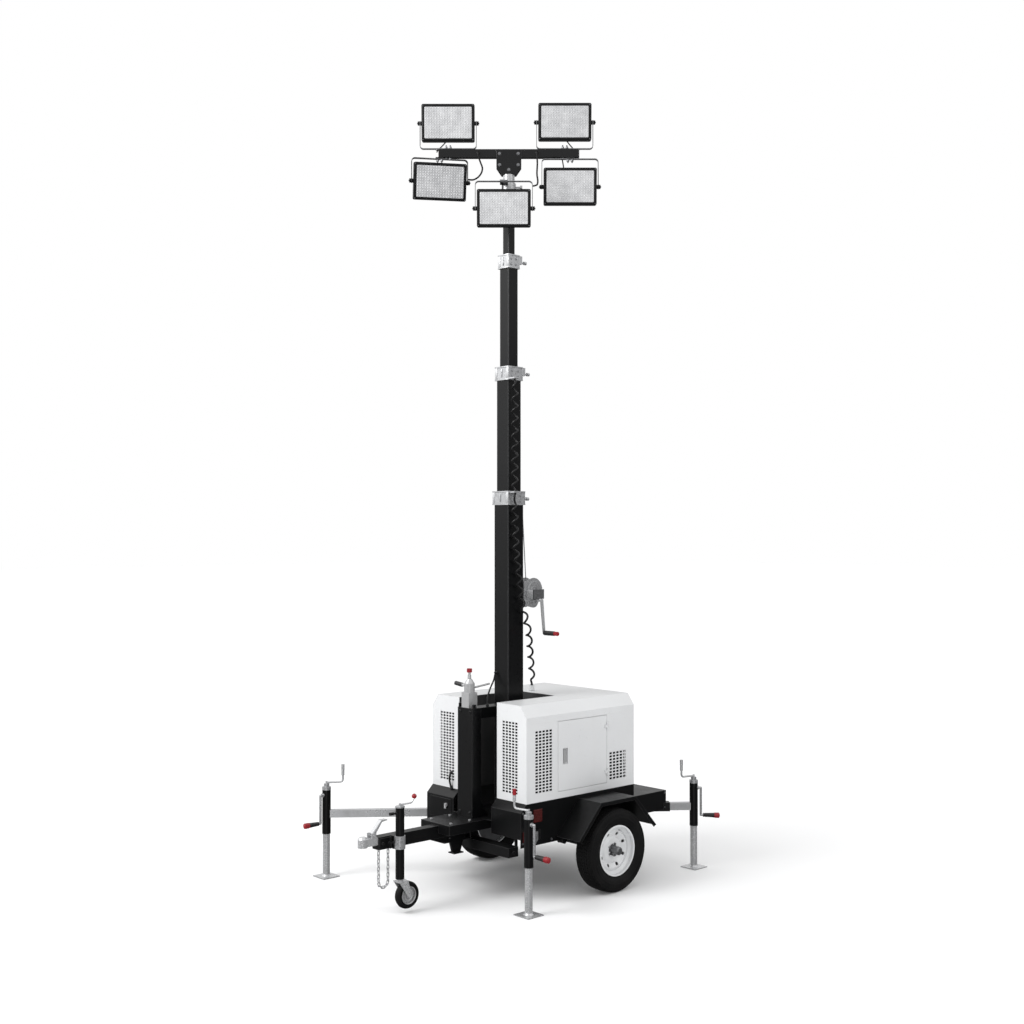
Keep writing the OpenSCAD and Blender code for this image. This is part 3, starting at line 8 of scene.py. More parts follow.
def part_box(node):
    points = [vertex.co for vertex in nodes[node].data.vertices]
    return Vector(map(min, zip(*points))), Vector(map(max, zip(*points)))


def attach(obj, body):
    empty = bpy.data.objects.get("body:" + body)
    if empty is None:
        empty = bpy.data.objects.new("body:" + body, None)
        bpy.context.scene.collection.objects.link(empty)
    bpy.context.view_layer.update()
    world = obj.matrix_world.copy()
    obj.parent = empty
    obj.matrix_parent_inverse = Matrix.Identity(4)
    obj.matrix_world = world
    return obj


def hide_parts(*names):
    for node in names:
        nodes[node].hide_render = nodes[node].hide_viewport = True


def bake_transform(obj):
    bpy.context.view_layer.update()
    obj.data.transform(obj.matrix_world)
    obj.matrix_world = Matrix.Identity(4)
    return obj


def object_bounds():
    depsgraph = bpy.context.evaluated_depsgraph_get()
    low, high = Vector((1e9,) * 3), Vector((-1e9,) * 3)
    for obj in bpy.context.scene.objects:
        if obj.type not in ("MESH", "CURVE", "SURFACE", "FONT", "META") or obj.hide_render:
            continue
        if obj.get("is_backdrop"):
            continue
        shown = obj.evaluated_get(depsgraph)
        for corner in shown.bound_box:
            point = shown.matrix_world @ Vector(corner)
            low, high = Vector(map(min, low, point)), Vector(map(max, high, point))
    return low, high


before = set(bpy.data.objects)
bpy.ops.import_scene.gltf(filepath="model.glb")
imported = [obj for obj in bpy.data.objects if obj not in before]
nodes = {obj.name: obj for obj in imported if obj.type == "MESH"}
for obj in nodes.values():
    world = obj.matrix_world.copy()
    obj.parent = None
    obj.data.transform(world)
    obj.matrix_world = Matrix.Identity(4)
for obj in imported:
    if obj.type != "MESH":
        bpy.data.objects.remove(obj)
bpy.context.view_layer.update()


def boxMiddle(name):
    low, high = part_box(name)
    return (low + high) / 2


# The middle of the axle on the ground is where the trailer is set out from, in millimetres
axle = (boxMiddle("tyre_left") + boxMiddle("tyre_right")) / 2
axle.z = 0


def at(x, y, z):
    return axle + Vector((x, y, z)) / 1000


def local(point):
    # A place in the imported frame, in the trailer's own millimetres
    return (point - axle) * 1000


def mm(value):
    return value / 1000


def shifted(x, y, z):
    return Matrix.Translation((mm(x), mm(y), mm(z)))


def rotated(degrees, axis):
    return Matrix.Rotation(math.radians(degrees), 4, axis)


# The camera

cameraSetup = {
    "place": (-7630, -7876, 2853), "turn": -42.567, "tilt": 0.849, "lens": 45.97,
}

eye = bpy.data.cameras.new("camera")
eye.lens = cameraSetup["lens"]
eye.sensor_width = 36
eye.clip_end = 200
cameraPiece = bpy.data.objects.new("camera", eye)
bpy.context.scene.collection.objects.link(cameraPiece)
cameraPiece.location = at(*cameraSetup["place"])
cameraPiece.rotation_euler = (
    math.radians(90 + cameraSetup["tilt"]),
    0,
    math.radians(cameraSetup["turn"]),
)
bpy.context.scene.camera = cameraPiece
print("camera placed")


# Finishes


class Wire:
    # A socket that can be added and multiplied like a number

    def __init__(self, finish, socket):
        self.finish = finish
        self.socket = socket

    def maths(self, operation, *others):
        values = {0: self}
        for place, other in enumerate(others, 1):
            values[place] = other
        return self.finish.add("Math", {"operation": operation}, values)[0]

    def __add__(self, other):
        return self.maths("ADD", other)

    def __sub__(self, other):
        return self.maths("SUBTRACT", other)

    def __mul__(self, other):
        return self.maths("MULTIPLY", other)

    def __gt__(self, other):
        return self.maths("GREATER_THAN", other)

    __radd__ = __add__
    __rmul__ = __mul__

    def limit(self):
        return self.finish.add("Clamp", {}, {0: self})[0]

    def between(self, low, high, first=0.0, last=1.0):
        return self.finish.add(
            "MapRange", {}, {0: self, 1: low, 2: high, 3: first, 4: last}
        )[0]

    def smooth(self, low, high, first=0.0, last=1.0):
        return self.finish.add(
            "MapRange",
            {"interpolation_type": "SMOOTHSTEP"},
            {0: self, 1: low, 2: high, 3: first, 4: last},
        )[0]


class Finish:
    def __init__(self, name):
        self.material = bpy.data.materials.new(name)
        self.material.use_nodes = True
        self.tree = self.material.node_tree
        self.tree.nodes.clear()
        self.place = self.add("TexCoord")[3]
        self.height = None

    # Every node comes from here: its kind, its settings, then what feeds its sockets
    def add(self, kind, settings=None, feeds=None):
        made = self.tree.nodes.new("ShaderNode" + kind)
        for key, value in (settings or {}).items():
            setattr(made, key, value)
        for key, value in (feeds or {}).items():
            socket = made.inputs[key]
            if isinstance(value, Wire):
                self.tree.links.new(value.socket, socket)
            elif socket.type == "RGBA" and len(value) == 3:
                socket.default_value = (*value, 1)
            else:
                socket.default_value = value
        return [Wire(self, output) for output in made.outputs]

    def noise(self, scale, detail=3.0, rough=0.55, stretch=None, shift=0.0):
        place = self.place
        if stretch or shift:
            place = self.add(
                "Mapping",
                {},
                {0: place, 1: (shift, shift, shift), 3: stretch or (1, 1, 1)},
            )[0]
        return self.add(
            "TexNoise", {}, {"Vector": place, "Scale": scale, "Detail": detail, "Roughness": rough}
        )[0]

    def cells(self, scale):
        feeds = {"Vector": self.place, "Scale": scale}
        return self.add("TexVoronoi", {"feature": "F1"}, feeds)[1]

    def axes(self):
        return self.add("SeparateXYZ", {}, {0: self.place})

    def mix(self, factor, first, second, blend="MIX"):
        settings = {"data_type": "RGBA", "blend_type": blend}
        return self.add("Mix", settings, {0: factor, 6: first, 7: second})[2]

    def facing(self):
        normal = self.add("NewGeometry")[1]
        return self.add("SeparateXYZ", {}, {0: normal})

    # How sharply the surface turns within a small distance, and the rounded normal there
    def edges(self, width):
        rounded = self.add("Bevel", {"samples": 4}, {"Radius": width})[0]
        flat = self.add("NewGeometry")[1]
        same = self.add("VectorMath", {"operation": "DOT_PRODUCT"}, {0: rounded, 1: flat})[1]
        self.height = rounded
        return same.between(0.995, 0.8, 0.0, 1.0)

    def bump(self, height, strength=0.2, distance=0.001):
        feeds = {"Height": height, "Strength": strength, "Distance": distance}
        if self.height:
            feeds["Normal"] = self.height
        self.height = self.add("Bump", {}, feeds)[0]

    def finish(self, colour, roughness, **sockets):
        feeds = {"Base Color": colour, "Roughness": roughness}
        feeds.update({key.replace("_", " "): value for key, value in sockets.items()})
        if self.height:
            feeds["Normal"] = self.height
        surface = self.add("BsdfPrincipled", {}, feeds)[0]
        self.add("OutputMaterial", {}, {"Surface": surface})
        return self.material


# Sprayed steel: orange peel, faint clouding, dust that has settled on what faces up, scuff marks,
# and edges lightened partly as worn paint and partly as a painted highlight
def sprayedFinish(name, look):
    f = Finish(name)
    cloud = f.noise(1.7, 4)
    speck = f.noise(38, 6, 0.7)
    streak = f.noise(1.0, 5, 0.6, stretch=(14, 14, 1.1), shift=2.0)
    up = f.facing()[2].between(0.2, 0.95)
    ground = f.axes()[2].between(0.25, 1.1, 1.0, 0.0)
    dust = (up * 0.65 + ground * 0.35) * f.noise(3.1, 5, 0.65, shift=4.0).between(0.35, 0.75)
    tone = f.mix(cloud.between(0.3, 0.7), look["colour"], look["shade"])
    tone = f.mix(streak.smooth(0.52, 0.78) * look["streak"], tone, look["dust"])
    tone = f.mix((dust * look["dusty"]).limit(), tone, look["dust"])
    scuff = (f.noise(9, 7, 0.75, stretch=(1, 1, 0.35), shift=9.0) > 0.71) * speck.between(0.4, 0.6)
    tone = f.mix((scuff * look["scuff"]).limit(), tone, look["bareAndSheen"])
    # Where the look gives an edge width, edges are mixed toward a lighter colour: worn paint, and a
    # painted highlight along the edges
    if "edge" in look:
        tone = f.mix((f.edges(look["edge"]) * look["rubbed"]).limit(), tone, look["bareAndSheen"])
    rough = look["rough"] + speck.between(0.3, 0.7, -0.04, 0.05) + dust * 0.25 + scuff * 0.15
    f.bump(f.noise(look["peel"], 2, 0.4), look["peelDepth"], 0.0006)
    return f.finish(tone, rough.limit(), **look.get("more", {}))


# Zinc on steel: spangles of crystal, dull patches, a soft grain
def zincFinish(name, look):
    f = Finish(name)
    crystal = f.cells(look["spangle"])
    tint = f.add("SeparateColor", {}, {0: crystal})[0]
    patch = f.noise(6.5, 5, 0.6)
    grain = f.noise(220, 3, 0.6, stretch=look.get("grain", (1, 1, 1)))
    tone = f.mix(tint.between(0, 1, 0.0, 0.55), look["colour"], look["shade"])
    tone = f.mix(patch.smooth(0.5, 0.8) * look["dull"], tone, look["oxide"])
    rough = look["rough"] + tint.between(0, 1, -0.07, 0.07) + patch.between(0.4, 0.8, 0, 0.16)
    f.bump(grain + tint * 0.4, look["depth"], 0.0006)
    return f.finish(tone, rough.limit(), Metallic=look.get("metal", 0.95))


def rubberFinish(name, look):
    f = Finish(name)
    cloud = f.noise(5, 4)
    speck = f.noise(130, 5, 0.7)
    dust = f.noise(11, 6, 0.7, shift=3.0).smooth(0.42, 0.8)
    tone = f.mix(cloud.between(0.3, 0.7), look["colour"], look["shade"])
    tone = f.mix(dust * look["dusty"], tone, look["dust"])
    f.bump(speck, look["depth"], 0.0005)
    rough = look["rough"] + speck.between(0.3, 0.7, -0.06, 0.06) + dust * 0.1
    return f.finish(tone, rough.limit(), **look.get("more", {}))


def plasticFinish(name, look):
    f = Finish(name)
    cloud = f.noise(14, 3)
    fine = f.noise(420, 2)
    wear = f.noise(60, 6, 0.75).smooth(0.56, 0.75)
    tone = f.mix(cloud.between(0.3, 0.7), look["colour"], look["shade"])
    tone = f.mix(wear * look["worn"], tone, look["rub"])
    f.bump(fine, look["depth"], 0.0004)
    rough = look["rough"] + wear * 0.2 + cloud.between(0.3, 0.7, -0.03, 0.03)
    return f.finish(tone, rough.limit(), **look.get("more", {}))


# Black paint: its edges are lightened, partly as worn paint and partly as a painted highlight along
# the edges
blackPaintLook = {
    "colour": (0.0022, 0.0023, 0.0026), "shade": (0.004, 0.0041, 0.0046),
    "dust": (0.04, 0.038, 0.035), "bareAndSheen": (0.09, 0.09, 0.094), "dusty": 0.09, "streak": 0.04,
    "scuff": 0.14, "rough": 0.3, "peel": 330, "peelDepth": 0.12, "edge": 0.005, "rubbed": 0.6,
    "more": {"Specular_IOR_Level": 0.24},
}
blackPaint = sprayedFinish("blackPaint", blackPaintLook)
# The mast's paint lightens a wider band along its edges: worn paint, and a painted highlight down
# the mast's corners
mastPaint = sprayedFinish("mastPaint", {
    **blackPaintLook, "edge": 0.012, "rubbed": 0.8, "bareAndSheen": (0.1, 0.1, 0.104),
})
whitePaint = sprayedFinish("whitePaint", {
    "colour": (0.7, 0.708, 0.716), "shade": (0.66, 0.668, 0.678), "dust": (0.56, 0.53, 0.49),
    "bareAndSheen": (0.62, 0.62, 0.63), "dusty": 0.09, "streak": 0.07, "scuff": 0.12, "rough": 0.3,
    "peel": 300, "peelDepth": 0.07, "more": {"Coat_Weight": 0.25, "Coat_Roughness": 0.12},
})
notchPaint = sprayedFinish("notchPaint", {
    "colour": (0.03, 0.0305, 0.032), "shade": (0.045, 0.0455, 0.047), "dust": (0.2, 0.19, 0.18),
    "bareAndSheen": (0.3, 0.3, 0.3), "dusty": 0.2, "streak": 0.12, "scuff": 0.2, "rough": 0.5,
    "peel": 260, "peelDepth": 0.15,
})
zinc = zincFinish("zinc", {
    "colour": (0.44, 0.445, 0.455), "shade": (0.53, 0.535, 0.545), "oxide": (0.34, 0.34, 0.338),
    "spangle": 95, "dull": 0.4, "rough": 0.31, "depth": 0.08, "metal": 0.68,
})
plated = zincFinish("plated", {
    "colour": (0.5, 0.505, 0.515), "shade": (0.62, 0.625, 0.635), "oxide": (0.34, 0.335, 0.32),
    "spangle": 260, "dull": 0.35, "rough": 0.2, "depth": 0.07, "grain": (1, 1, 0.06),
    "metal": 0.5,
})
cast = zincFinish("cast", {
    "colour": (0.42, 0.422, 0.428), "shade": (0.54, 0.543, 0.55), "oxide": (0.22, 0.217, 0.212),
    "spangle": 420, "dull": 0.6, "rough": 0.34, "depth": 0.3, "metal": 0.5,
})
yokeSteel = zincFinish("yokeSteel", {
    "colour": (0.2, 0.202, 0.207), "shade": (0.25, 0.252, 0.257), "oxide": (0.14, 0.14, 0.14),
    "spangle": 300, "dull": 0.4, "rough": 0.4, "depth": 0.1, "metal": 0.6,
})
gunMetal = zincFinish("gunMetal", {
    "colour": (0.16, 0.163, 0.17), "shade": (0.22, 0.223, 0.23), "oxide": (0.12, 0.115, 0.11),
    "spangle": 300, "dull": 0.5, "rough": 0.42, "depth": 0.15, "metal": 0.8,
})
handleGrey = zincFinish("handleGrey", {
    "colour": (0.36, 0.363, 0.37), "shade": (0.42, 0.423, 0.43), "oxide": (0.28, 0.28, 0.28),
    "spangle": 300, "dull": 0.4, "rough": 0.4, "depth": 0.08, "metal": 0.25,
})
tyreRubber = rubberFinish("tyreRubber", {
    "colour": (0.004, 0.004, 0.0042), "shade": (0.0065, 0.0065, 0.0068),
    "dust": (0.035, 0.033, 0.03), "dusty": 0.16, "rough": 0.6, "depth": 0.25,
    "more": {"Specular_IOR_Level": 0.15},
})
cordRubber = rubberFinish("cordRubber", {
    "colour": (0.006, 0.006, 0.0065), "shade": (0.01, 0.01, 0.0106), "dust": (0.05, 0.048, 0.046),
    "dusty": 0.1, "rough": 0.36, "depth": 0.08, "more": {"Specular_IOR_Level": 0.25},
})
redGrip = plasticFinish("redGrip", {
    "colour": (0.3, 0.008, 0.014), "shade": (0.2, 0.005, 0.01), "rub": (0.45, 0.14, 0.14),
    "worn": 0.25, "rough": 0.34, "depth": 0.08,
})
blackGrip = plasticFinish("blackGrip", {
    "colour": (0.007, 0.007, 0.0075), "shade": (0.012, 0.012, 0.0126), "rub": (0.05, 0.05, 0.05),
    "worn": 0.3, "rough": 0.48, "depth": 0.14,
})
lampBody = plasticFinish("lampBody", {
    "colour": (0.0045, 0.0046, 0.005), "shade": (0.0085, 0.0086, 0.009),
    "rub": (0.04, 0.04, 0.04), "worn": 0.2, "rough": 0.34, "depth": 0.3,
    "more": {"Specular_IOR_Level": 0.18},
})
lensPlate = plasticFinish("lensPlate", {
    "colour": (0.5, 0.503, 0.512), "shade": (0.36, 0.363, 0.372), "rub": (0.5, 0.5, 0.51),
    "worn": 0.25, "rough": 0.22, "depth": 0.04,
    "more": {"Coat_Weight": 0.6, "Coat_Roughness": 0.05},
})
diode = plasticFinish("diode", {
    "colour": (0.62, 0.624, 0.63), "shade": (0.5, 0.504, 0.51), "rub": (0.74, 0.74, 0.73),
    "worn": 0.3, "rough": 0.34, "depth": 0.03,
    "more": {"Coat_Weight": 0.2, "Coat_Roughness": 0.2},
})
enginePaint = sprayedFinish("enginePaint", {
    "colour": (0.055, 0.09, 0.075), "shade": (0.075, 0.11, 0.095), "dust": (0.14, 0.13, 0.12),
    "bareAndSheen": (0.3, 0.3, 0.3), "dusty": 0.5, "streak": 0.2, "scuff": 0.4, "rough": 0.5, "peel": 220,
    "peelDepth": 0.3,
})
foam = rubberFinish("foam", {
    "colour": (0.006, 0.006, 0.0065), "shade": (0.01, 0.01, 0.0105), "dust": (0.03, 0.03, 0.03),
    "dusty": 0.15, "rough": 0.9, "depth": 0.5, "more": {"Specular_IOR_Level": 0.05},
})
reflectorRed = plasticFinish("reflectorRed", {
    "colour": (0.066, 0.009, 0.008), "shade": (0.048, 0.006, 0.006), "rub": (0.12, 0.03, 0.026),
    "worn": 0.25, "rough": 0.22, "depth": 0.05, "more": {"Specular_IOR_Level": 0.3},
})
print("finishes mixed")


# Helpers for pieces


def newPiece(name, bm, material, body, smoothAngle=32):
    mesh = bpy.data.meshes.new(name)
    bmesh.ops.remove_doubles(bm, verts=bm.verts, dist=1e-6)
    bmesh.ops.recalc_face_normals(bm, faces=bm.faces)
    bm.to_mesh(mesh)
    bm.free()
    mesh.materials.append(material)
    mesh.polygons.foreach_set("use_smooth", [True] * len(mesh.polygons))
    mesh.set_sharp_from_angle(angle=math.radians(smoothAngle))
    piece = bpy.data.objects.new(name, mesh)
    bpy.context.scene.collection.objects.link(piece)
    if body:
        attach(piece, body)
    return piece


def turned(origin, direction, spin=0.0):
    # A placing matrix whose Z looks along a direction
    aim = Vector(direction).normalized().to_track_quat("Z", "Y").to_matrix().to_4x4()
    return Matrix.Translation(origin) @ aim @ Matrix.Rotation(spin, 4, "Z")


# A line of radius and height turned all the way round the Z of a placing matrix
def spun(bm, place, profile, steps, shut=True):
    line = [bm.verts.new(place @ Vector((r, 0, h))) for r, h in
            [(mm(r), mm(h)) for r, h in profile]]
    edges = [bm.edges.new(pair) for pair in zip(line, line[1:])]
    if shut:
        edges.append(bm.edges.new((line[-1], line[0])))
    bmesh.ops.spin(
        bm, geom=line + edges, cent=place.translation, axis=place.col[2].to_3d(),
        angle=2 * math.pi, steps=steps, use_merge=True,
    )


def bevelled(bm, edges, ease, segments):
    bmesh.ops.bevel(
        bm, geom=edges, offset=mm(ease), segments=segments, profile=0.5, affect="EDGES",
        material=-1,
    )


# A box between two corners of a placing matrix, with its edges rounded over
def easedBox(bm, place, low, high, ease):
    size = [mm(b - a) for a, b in zip(low, high)]
    middle = [mm(a + b) / 2 for a, b in zip(low, high)]
    made = bmesh.ops.create_cube(
        bm, size=1,
        matrix=place @ Matrix.Translation(middle) @ Matrix.Diagonal((*size, 1)),
    )["verts"]
    if ease:
        bevelled(bm, list({edge for vert in made for edge in vert.link_edges}), ease, 2)


# The head of a bolt with its washer, standing along the Z of a placing matrix
def boltHead(bm, place, across, height):
    washer, thick = across * 0.68, height * 0.22
    spun(bm, place, [(0, 0), (washer, 0), (washer, thick), (0, thick)], 14, False)
    bmesh.ops.create_cone(
        bm, cap_ends=True, segments=6, radius1=mm(across / 2) / 0.866, radius2=mm(across / 2) / 0.9,
        depth=mm(height), matrix=place @ shifted(0, 0, height * 0.72),
    )


def ridge(bm, place, radius, height, rise, steps=22):
    spun(bm, place, [(radius - 1, height - 3), (radius, height - 3), (radius + rise, height - 1.2),
                     (radius + rise, height + 1.2), (radius, height + 3), (radius - 1, height + 3)],
         steps)


def trailerSpot(x, y, z, direction):
    return turned(at(x, y, z), direction)


# Faces of a CAD node take the finish of the first region that holds their middle
def paint(name, base, *regions):
    mesh = nodes[name].data
    mesh.materials.clear()
    mesh.materials.append(base)
    for material, _ in regions:
        mesh.materials.append(material)
    for face in mesh.polygons:
        centre = local(face.center)
        for place, (_, inside) in enumerate(regions, 1):
            if inside(centre):
                face.material_index = place
                break
        else:
            face.material_index = 0


# The cords

mastX = -431
collarLow = 3068
secondCollar, thirdCollar = 4082, 4998

curlyCord = {
    "wire": 17.5,
    "coil": 60,
    "pitch": 100,
    "slackPitch": 128,
    "tightFrom": 2300,
    "easeOver": 200,
    "stepsPerTurn": 16,
    # Height where a clip draws the coil straight, and how far to each side
    "clip": 3126,
    "clipReach": 96,
    "route": [
        (-60, 120, 1562), (-62, 118, 1610), (-88, 92, 1680), (-134, 52, 1770),
        (-190, 2, 1860), (-248, -50, 1950), (-304, -98, 2040), (-356, -126, 2130),
        (-392, -130, 2220), (-418, -130, 2340), (-442, -128, 2500), (-466, -126, 2700),
        (-479, -126, 2900), (-481, -126, 3040), (-481, -126, 4085),
    ],
}


# Evenly spaced points along a smooth curve through a few points
def smoothRoute(points, step):
    points = [at(*p) for p in points]
    dense = []
    count = len(points)
    for i in range(count - 1):
        before = points[max(i - 1, 0)]
        a, b = points[i], points[i + 1]
        after = points[min(i + 2, count - 1)]
        span = (b - a).length
        first = (b - before).normalized() * span
        last = (after - a).normalized() * span
        for k in range(40):
            t = k / 40
            dense.append(
                a * (2 * t**3 - 3 * t**2 + 1)
                + first * (t**3 - 2 * t**2 + t)
                + b * (3 * t**2 - 2 * t**3)
                + last * (t**3 - t**2)
            )
    dense.append(points[-1])
    lengths = [0.0]
    for a, b in zip(dense, dense[1:]):
        lengths.append(lengths[-1] + (b - a).length)
    total = lengths[-1]
    spaced, k = [], 0
    number = max(2, round(total / step))
    for i in range(number + 1):
        target = total * i / number
        while k < len(lengths) - 2 and lengths[k + 1] < target:
            k += 1
        share = (target - lengths[k]) / max(lengths[k + 1] - lengths[k], 1e-9)
        spaced.append(dense[k].lerp(dense[k + 1], min(share, 1)))
    return spaced, total


def routeLength(points):
    return sum((b - a).length for a, b in zip(points, points[1:]))


# A round tube spun along a path: a ring is carried from point to point and bridged
def tubeAlong(points, radius, sides):
    bm = bmesh.new()
    heading = (points[1] - points[0]).normalized()
    across = heading.orthogonal().normalized()
    loops = []
    for i, point in enumerate(points):
        new = (points[min(i + 1, len(points) - 1)] - points[max(i - 1, 0)]).normalized()
        across = (heading.rotation_difference(new) @ across).normalized()
        heading = new
        upward = heading.cross(across)
        basis = Matrix((across, upward, heading)).transposed().to_4x4()
        ring = bmesh.ops.create_circle(
            bm, segments=sides, radius=radius, matrix=Matrix.Translation(point) @ basis
        )["verts"]
        loops.append(ring)
    for a, b in zip(loops, loops[1:]):
        for k in range(sides):
            bm.faces.new((a[k], a[(k + 1) % sides], b[(k + 1) % sides], b[k]))
    bm.faces.new(list(reversed(loops[0])))
    bm.faces.new(loops[-1])
    bmesh.ops.recalc_face_normals(bm, faces=bm.faces)
    return bm


def declareCord(points, diameter):
    routeLength(points)
    mm(diameter)


def makeCurlyCord(look):
    middle, total = smoothRoute(look["route"], 0.004)
    turns = round(total / mm(look["pitch"]))
    steps = turns * look["stepsPerTurn"]
    radius = mm(look["coil"] - look["wire"]) / 2
    heading = (middle[1] - middle[0]).normalized()
    across = heading.orthogonal().normalized()
    points = []
    angle = 0.0
    for i in range(steps + 1):
        place = i / steps * (len(middle) - 1)
        k = min(int(place), len(middle) - 2)
        centre = middle[k].lerp(middle[k + 1], place - k)
        new = (middle[k + 1] - middle[k]).normalized()
        across = (heading.rotation_difference(new) @ across).normalized()
        heading = new
        # The coil closes to its own middle over the first and last turn
        open_ = min(1.0, i / look["stepsPerTurn"], (steps - i) / look["stepsPerTurn"])
        open_ = open_ * open_ * (3 - 2 * open_)
        height = local(centre).z
        near = abs(height - look["clip"])
        if near < look["clipReach"]:
            open_ *= 0.12 + 0.88 * (near / look["clipReach"]) ** 2
        # The coil is stretched wider apart below the winch
        spread = min(max((look["tightFrom"] - height) / look["easeOver"], 0.0), 1.0)
        gap = look["pitch"] + (look["slackPitch"] - look["pitch"]) * spread
        if i:
            angle += 2 * math.pi * total / steps / mm(gap)
        out = Matrix.Rotation(angle, 3, heading) @ across
        points.append(centre + out * radius * open_)
    bm = tubeAlong(points, mm(look["wire"]) / 2, 8)
    piece = newPiece("curly_cord", bm, cordRubber, None)
    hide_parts("cord_lower", "cord_upper")
    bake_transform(piece)
    declareCord(points, look["wire"])


def makeCord(name, body, route, diameter, replaced):
    points, _ = smoothRoute(route, 0.012)
    bm = tubeAlong(points, mm(diameter) / 2, 10)
    piece = newPiece(name, bm, cordRubber, body)
    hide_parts(replaced)
    declareCord(points, diameter)


makeCurlyCord(curlyCord)
print("cords laid")

# Paint on the CAD pieces

barZ = 5944
mastTop = 5632
headTurn = math.radians(-42.6)


def inCollar(p, low, half):
    return low - 1 <= p.z <= low + 113 and max(abs(p.x - mastX), abs(p.y)) > half + 0.5


for name in ("outrigger_sleeves", "fenders", "axle", "front_post"):
    paint(name, blackPaint)
for name in ("safety_chain", "coupler_handle", "jockey_fork"):
    paint(name, plated)
paint("base_frame", blackPaint,
      (plated, lambda p: abs(p.y) > 480 and abs(p.x + 840) < 14
       and abs(p.z - 400) < 14))
paint("tongue", blackPaint, (plated, lambda p: p.z > 600.2 and abs(abs(p.y) - 120) < 16))
paint("locker_door", blackPaint, (plated, lambda p: p.x < -830.4))
for name in ("canopy_roof", "canopy_left", "canopy_right", "canopy_ends", "grilles_left",
             "grilles_right", "grilles_ends"):
    paint(name, whitePaint)
paint("coupler", blackPaint,
      (plated, lambda p: p.x < -1774),
      (zinc, lambda p: math.hypot(p.x + 1620, p.y + 96) < 41.6
       or (p.y < -96 and p.x < -1600)))
paint("notch_lining", notchPaint)
paint("genset", enginePaint)
paint("lock_head", cast, (blackGrip, lambda p: p.y > 87.5))
paint("lock_plunger", plated, (redGrip, lambda p: p.z > 1735.9))
paint("mast_base", mastPaint, (zinc, lambda p: inCollar(p, collarLow, 84)))
paint("mast_2", mastPaint, (zinc, lambda p: inCollar(p, secondCollar, 70)))
paint("mast_3", mastPaint, (zinc, lambda p: inCollar(p, thirdCollar, 52.5)))
paint("mast_4", mastPaint)
paint("winch", zinc, (gunMetal, lambda p: p.y < -100.9 and 2299 < p.z < 2378.5
                      and -282.5 < p.x < -163.5))
paint("winch_crank", plated, (redGrip, lambda p: p.y < -279.9),
      (blackGrip, lambda p: p.y < -194.1))
for side in ("left", "right"):
    paint("tyre_" + side, tyreRubber)
    paint("rim_" + side, whitePaint,
          (gunMetal, lambda p: math.hypot(p.x, p.z - 330) < 61.2
           and abs(p.y) > 729 + 13.9))
    paint("door_" + side, whitePaint,
          (handleGrey, lambda p: -368 < p.x < -325 and 1030 < p.z < 1145
           and abs(p.y) < 565.5 and abs(p.y) > 554))
paint("jockey_tube", blackPaint, (zinc, lambda p: p.z > 791.9))
paint("jockey_crank", plated, (redGrip, lambda p: p.z > 839.5 and p.x > -1505))
paint("jockey_wheel", tyreRubber,
      (plated, lambda p: math.hypot(p.x + 1554, p.z - 131) < 66))

jackPlaces = {"lf": (-938, -774), "lr": (1056, -704), "rf": (-1416, 1159), "rr": (1533.5, 1089.5)}
sideCrankZ = 445
jackTurns = {"lf": -90, "lr": -50, "rf": 180, "rr": 50}


def jackRegions(name):
    x, y = jackPlaces[name]
    turn = math.radians(jackTurns[name])

    def own(p):
        dx, dy = p.x - x, p.y - y
        return dx * math.cos(turn) + dy * math.sin(turn), math.hypot(dx, dy), p.z

    return [
        (redGrip, lambda p: own(p)[0] > 173.9 and 422 < own(p)[2] < 468),
        (blackGrip, lambda p: own(p)[0] > 77.9 and abs(own(p)[2] - sideCrankZ) < 20),
        (blackPaint, lambda p: own(p)[1] < 35.4 and own(p)[2] < 714.9),
    ]


for name in jackPlaces:
    paint("outrigger_" + name, zinc, *jackRegions(name))
    paint("jack_leg_" + name, plated)
    paint("jack_crank_" + name, plated,
          *([(redGrip, lambda p: p.z > 875.9)] if name == "lf" else []))


def headPlace(p):
    x = p.x - mastX
    return (x * math.cos(headTurn) + p.y * math.sin(headTurn),
            -x * math.sin(headTurn) + p.y * math.cos(headTurn), p.z)


# The yokes are narrow straps centred on the bar, and the last one stands ahead of it
def isYoke(p):
    across, ahead, rise = headPlace(p)
    if ahead < -140:
        return True
    return abs(ahead) < 21 and abs(rise - barZ) > 39.4 and rise > mastTop + 140


paint("t_bar", blackPaint,
      (cast, lambda p: headPlace(p)[2] < mastTop + 135.9
       and math.hypot(headPlace(p)[0] - 40, headPlace(p)[1]) < 92),
      (yokeSteel, isYoke))

# Place along the bar, place ahead of it, height above it, yaw and tilt
lampSpots = [(-497, 0, 252, 0, 6), (458, 0, 260, 0, 6), (-567, 0, -228, 10, 14),
             (501, 0, -270, 0, 8), (-40, -165, -488, 0, 8)]
lamp = {"width": 434, "height": 300, "depth": 62}


def lampMatrix(i):
    across, ahead, rise, yaw, tilt = lampSpots[i]
    head = Matrix.Translation(at(mastX, 0, barZ)) @ Matrix.Rotation(headTurn, 4, "Z")
    place = Matrix.Translation(Vector((across, ahead, rise)) / 1000)
    return head @ place @ rotated(yaw, "Z") @ Matrix.Rotation(
        math.radians(tilt), 4, "X")


for i in range(5):
    back = lampMatrix(i).inverted()
    paint(f"lamp_{i + 1}", lampBody, (lensPlate, lambda p, m=back: (m @ at(*p)).y < -0.0371))
print("CAD pieces painted")


# Lamps

diodeGrid = {"across": 18, "down": 12, "margin": 26, "dome": 13, "rise": 3.6}


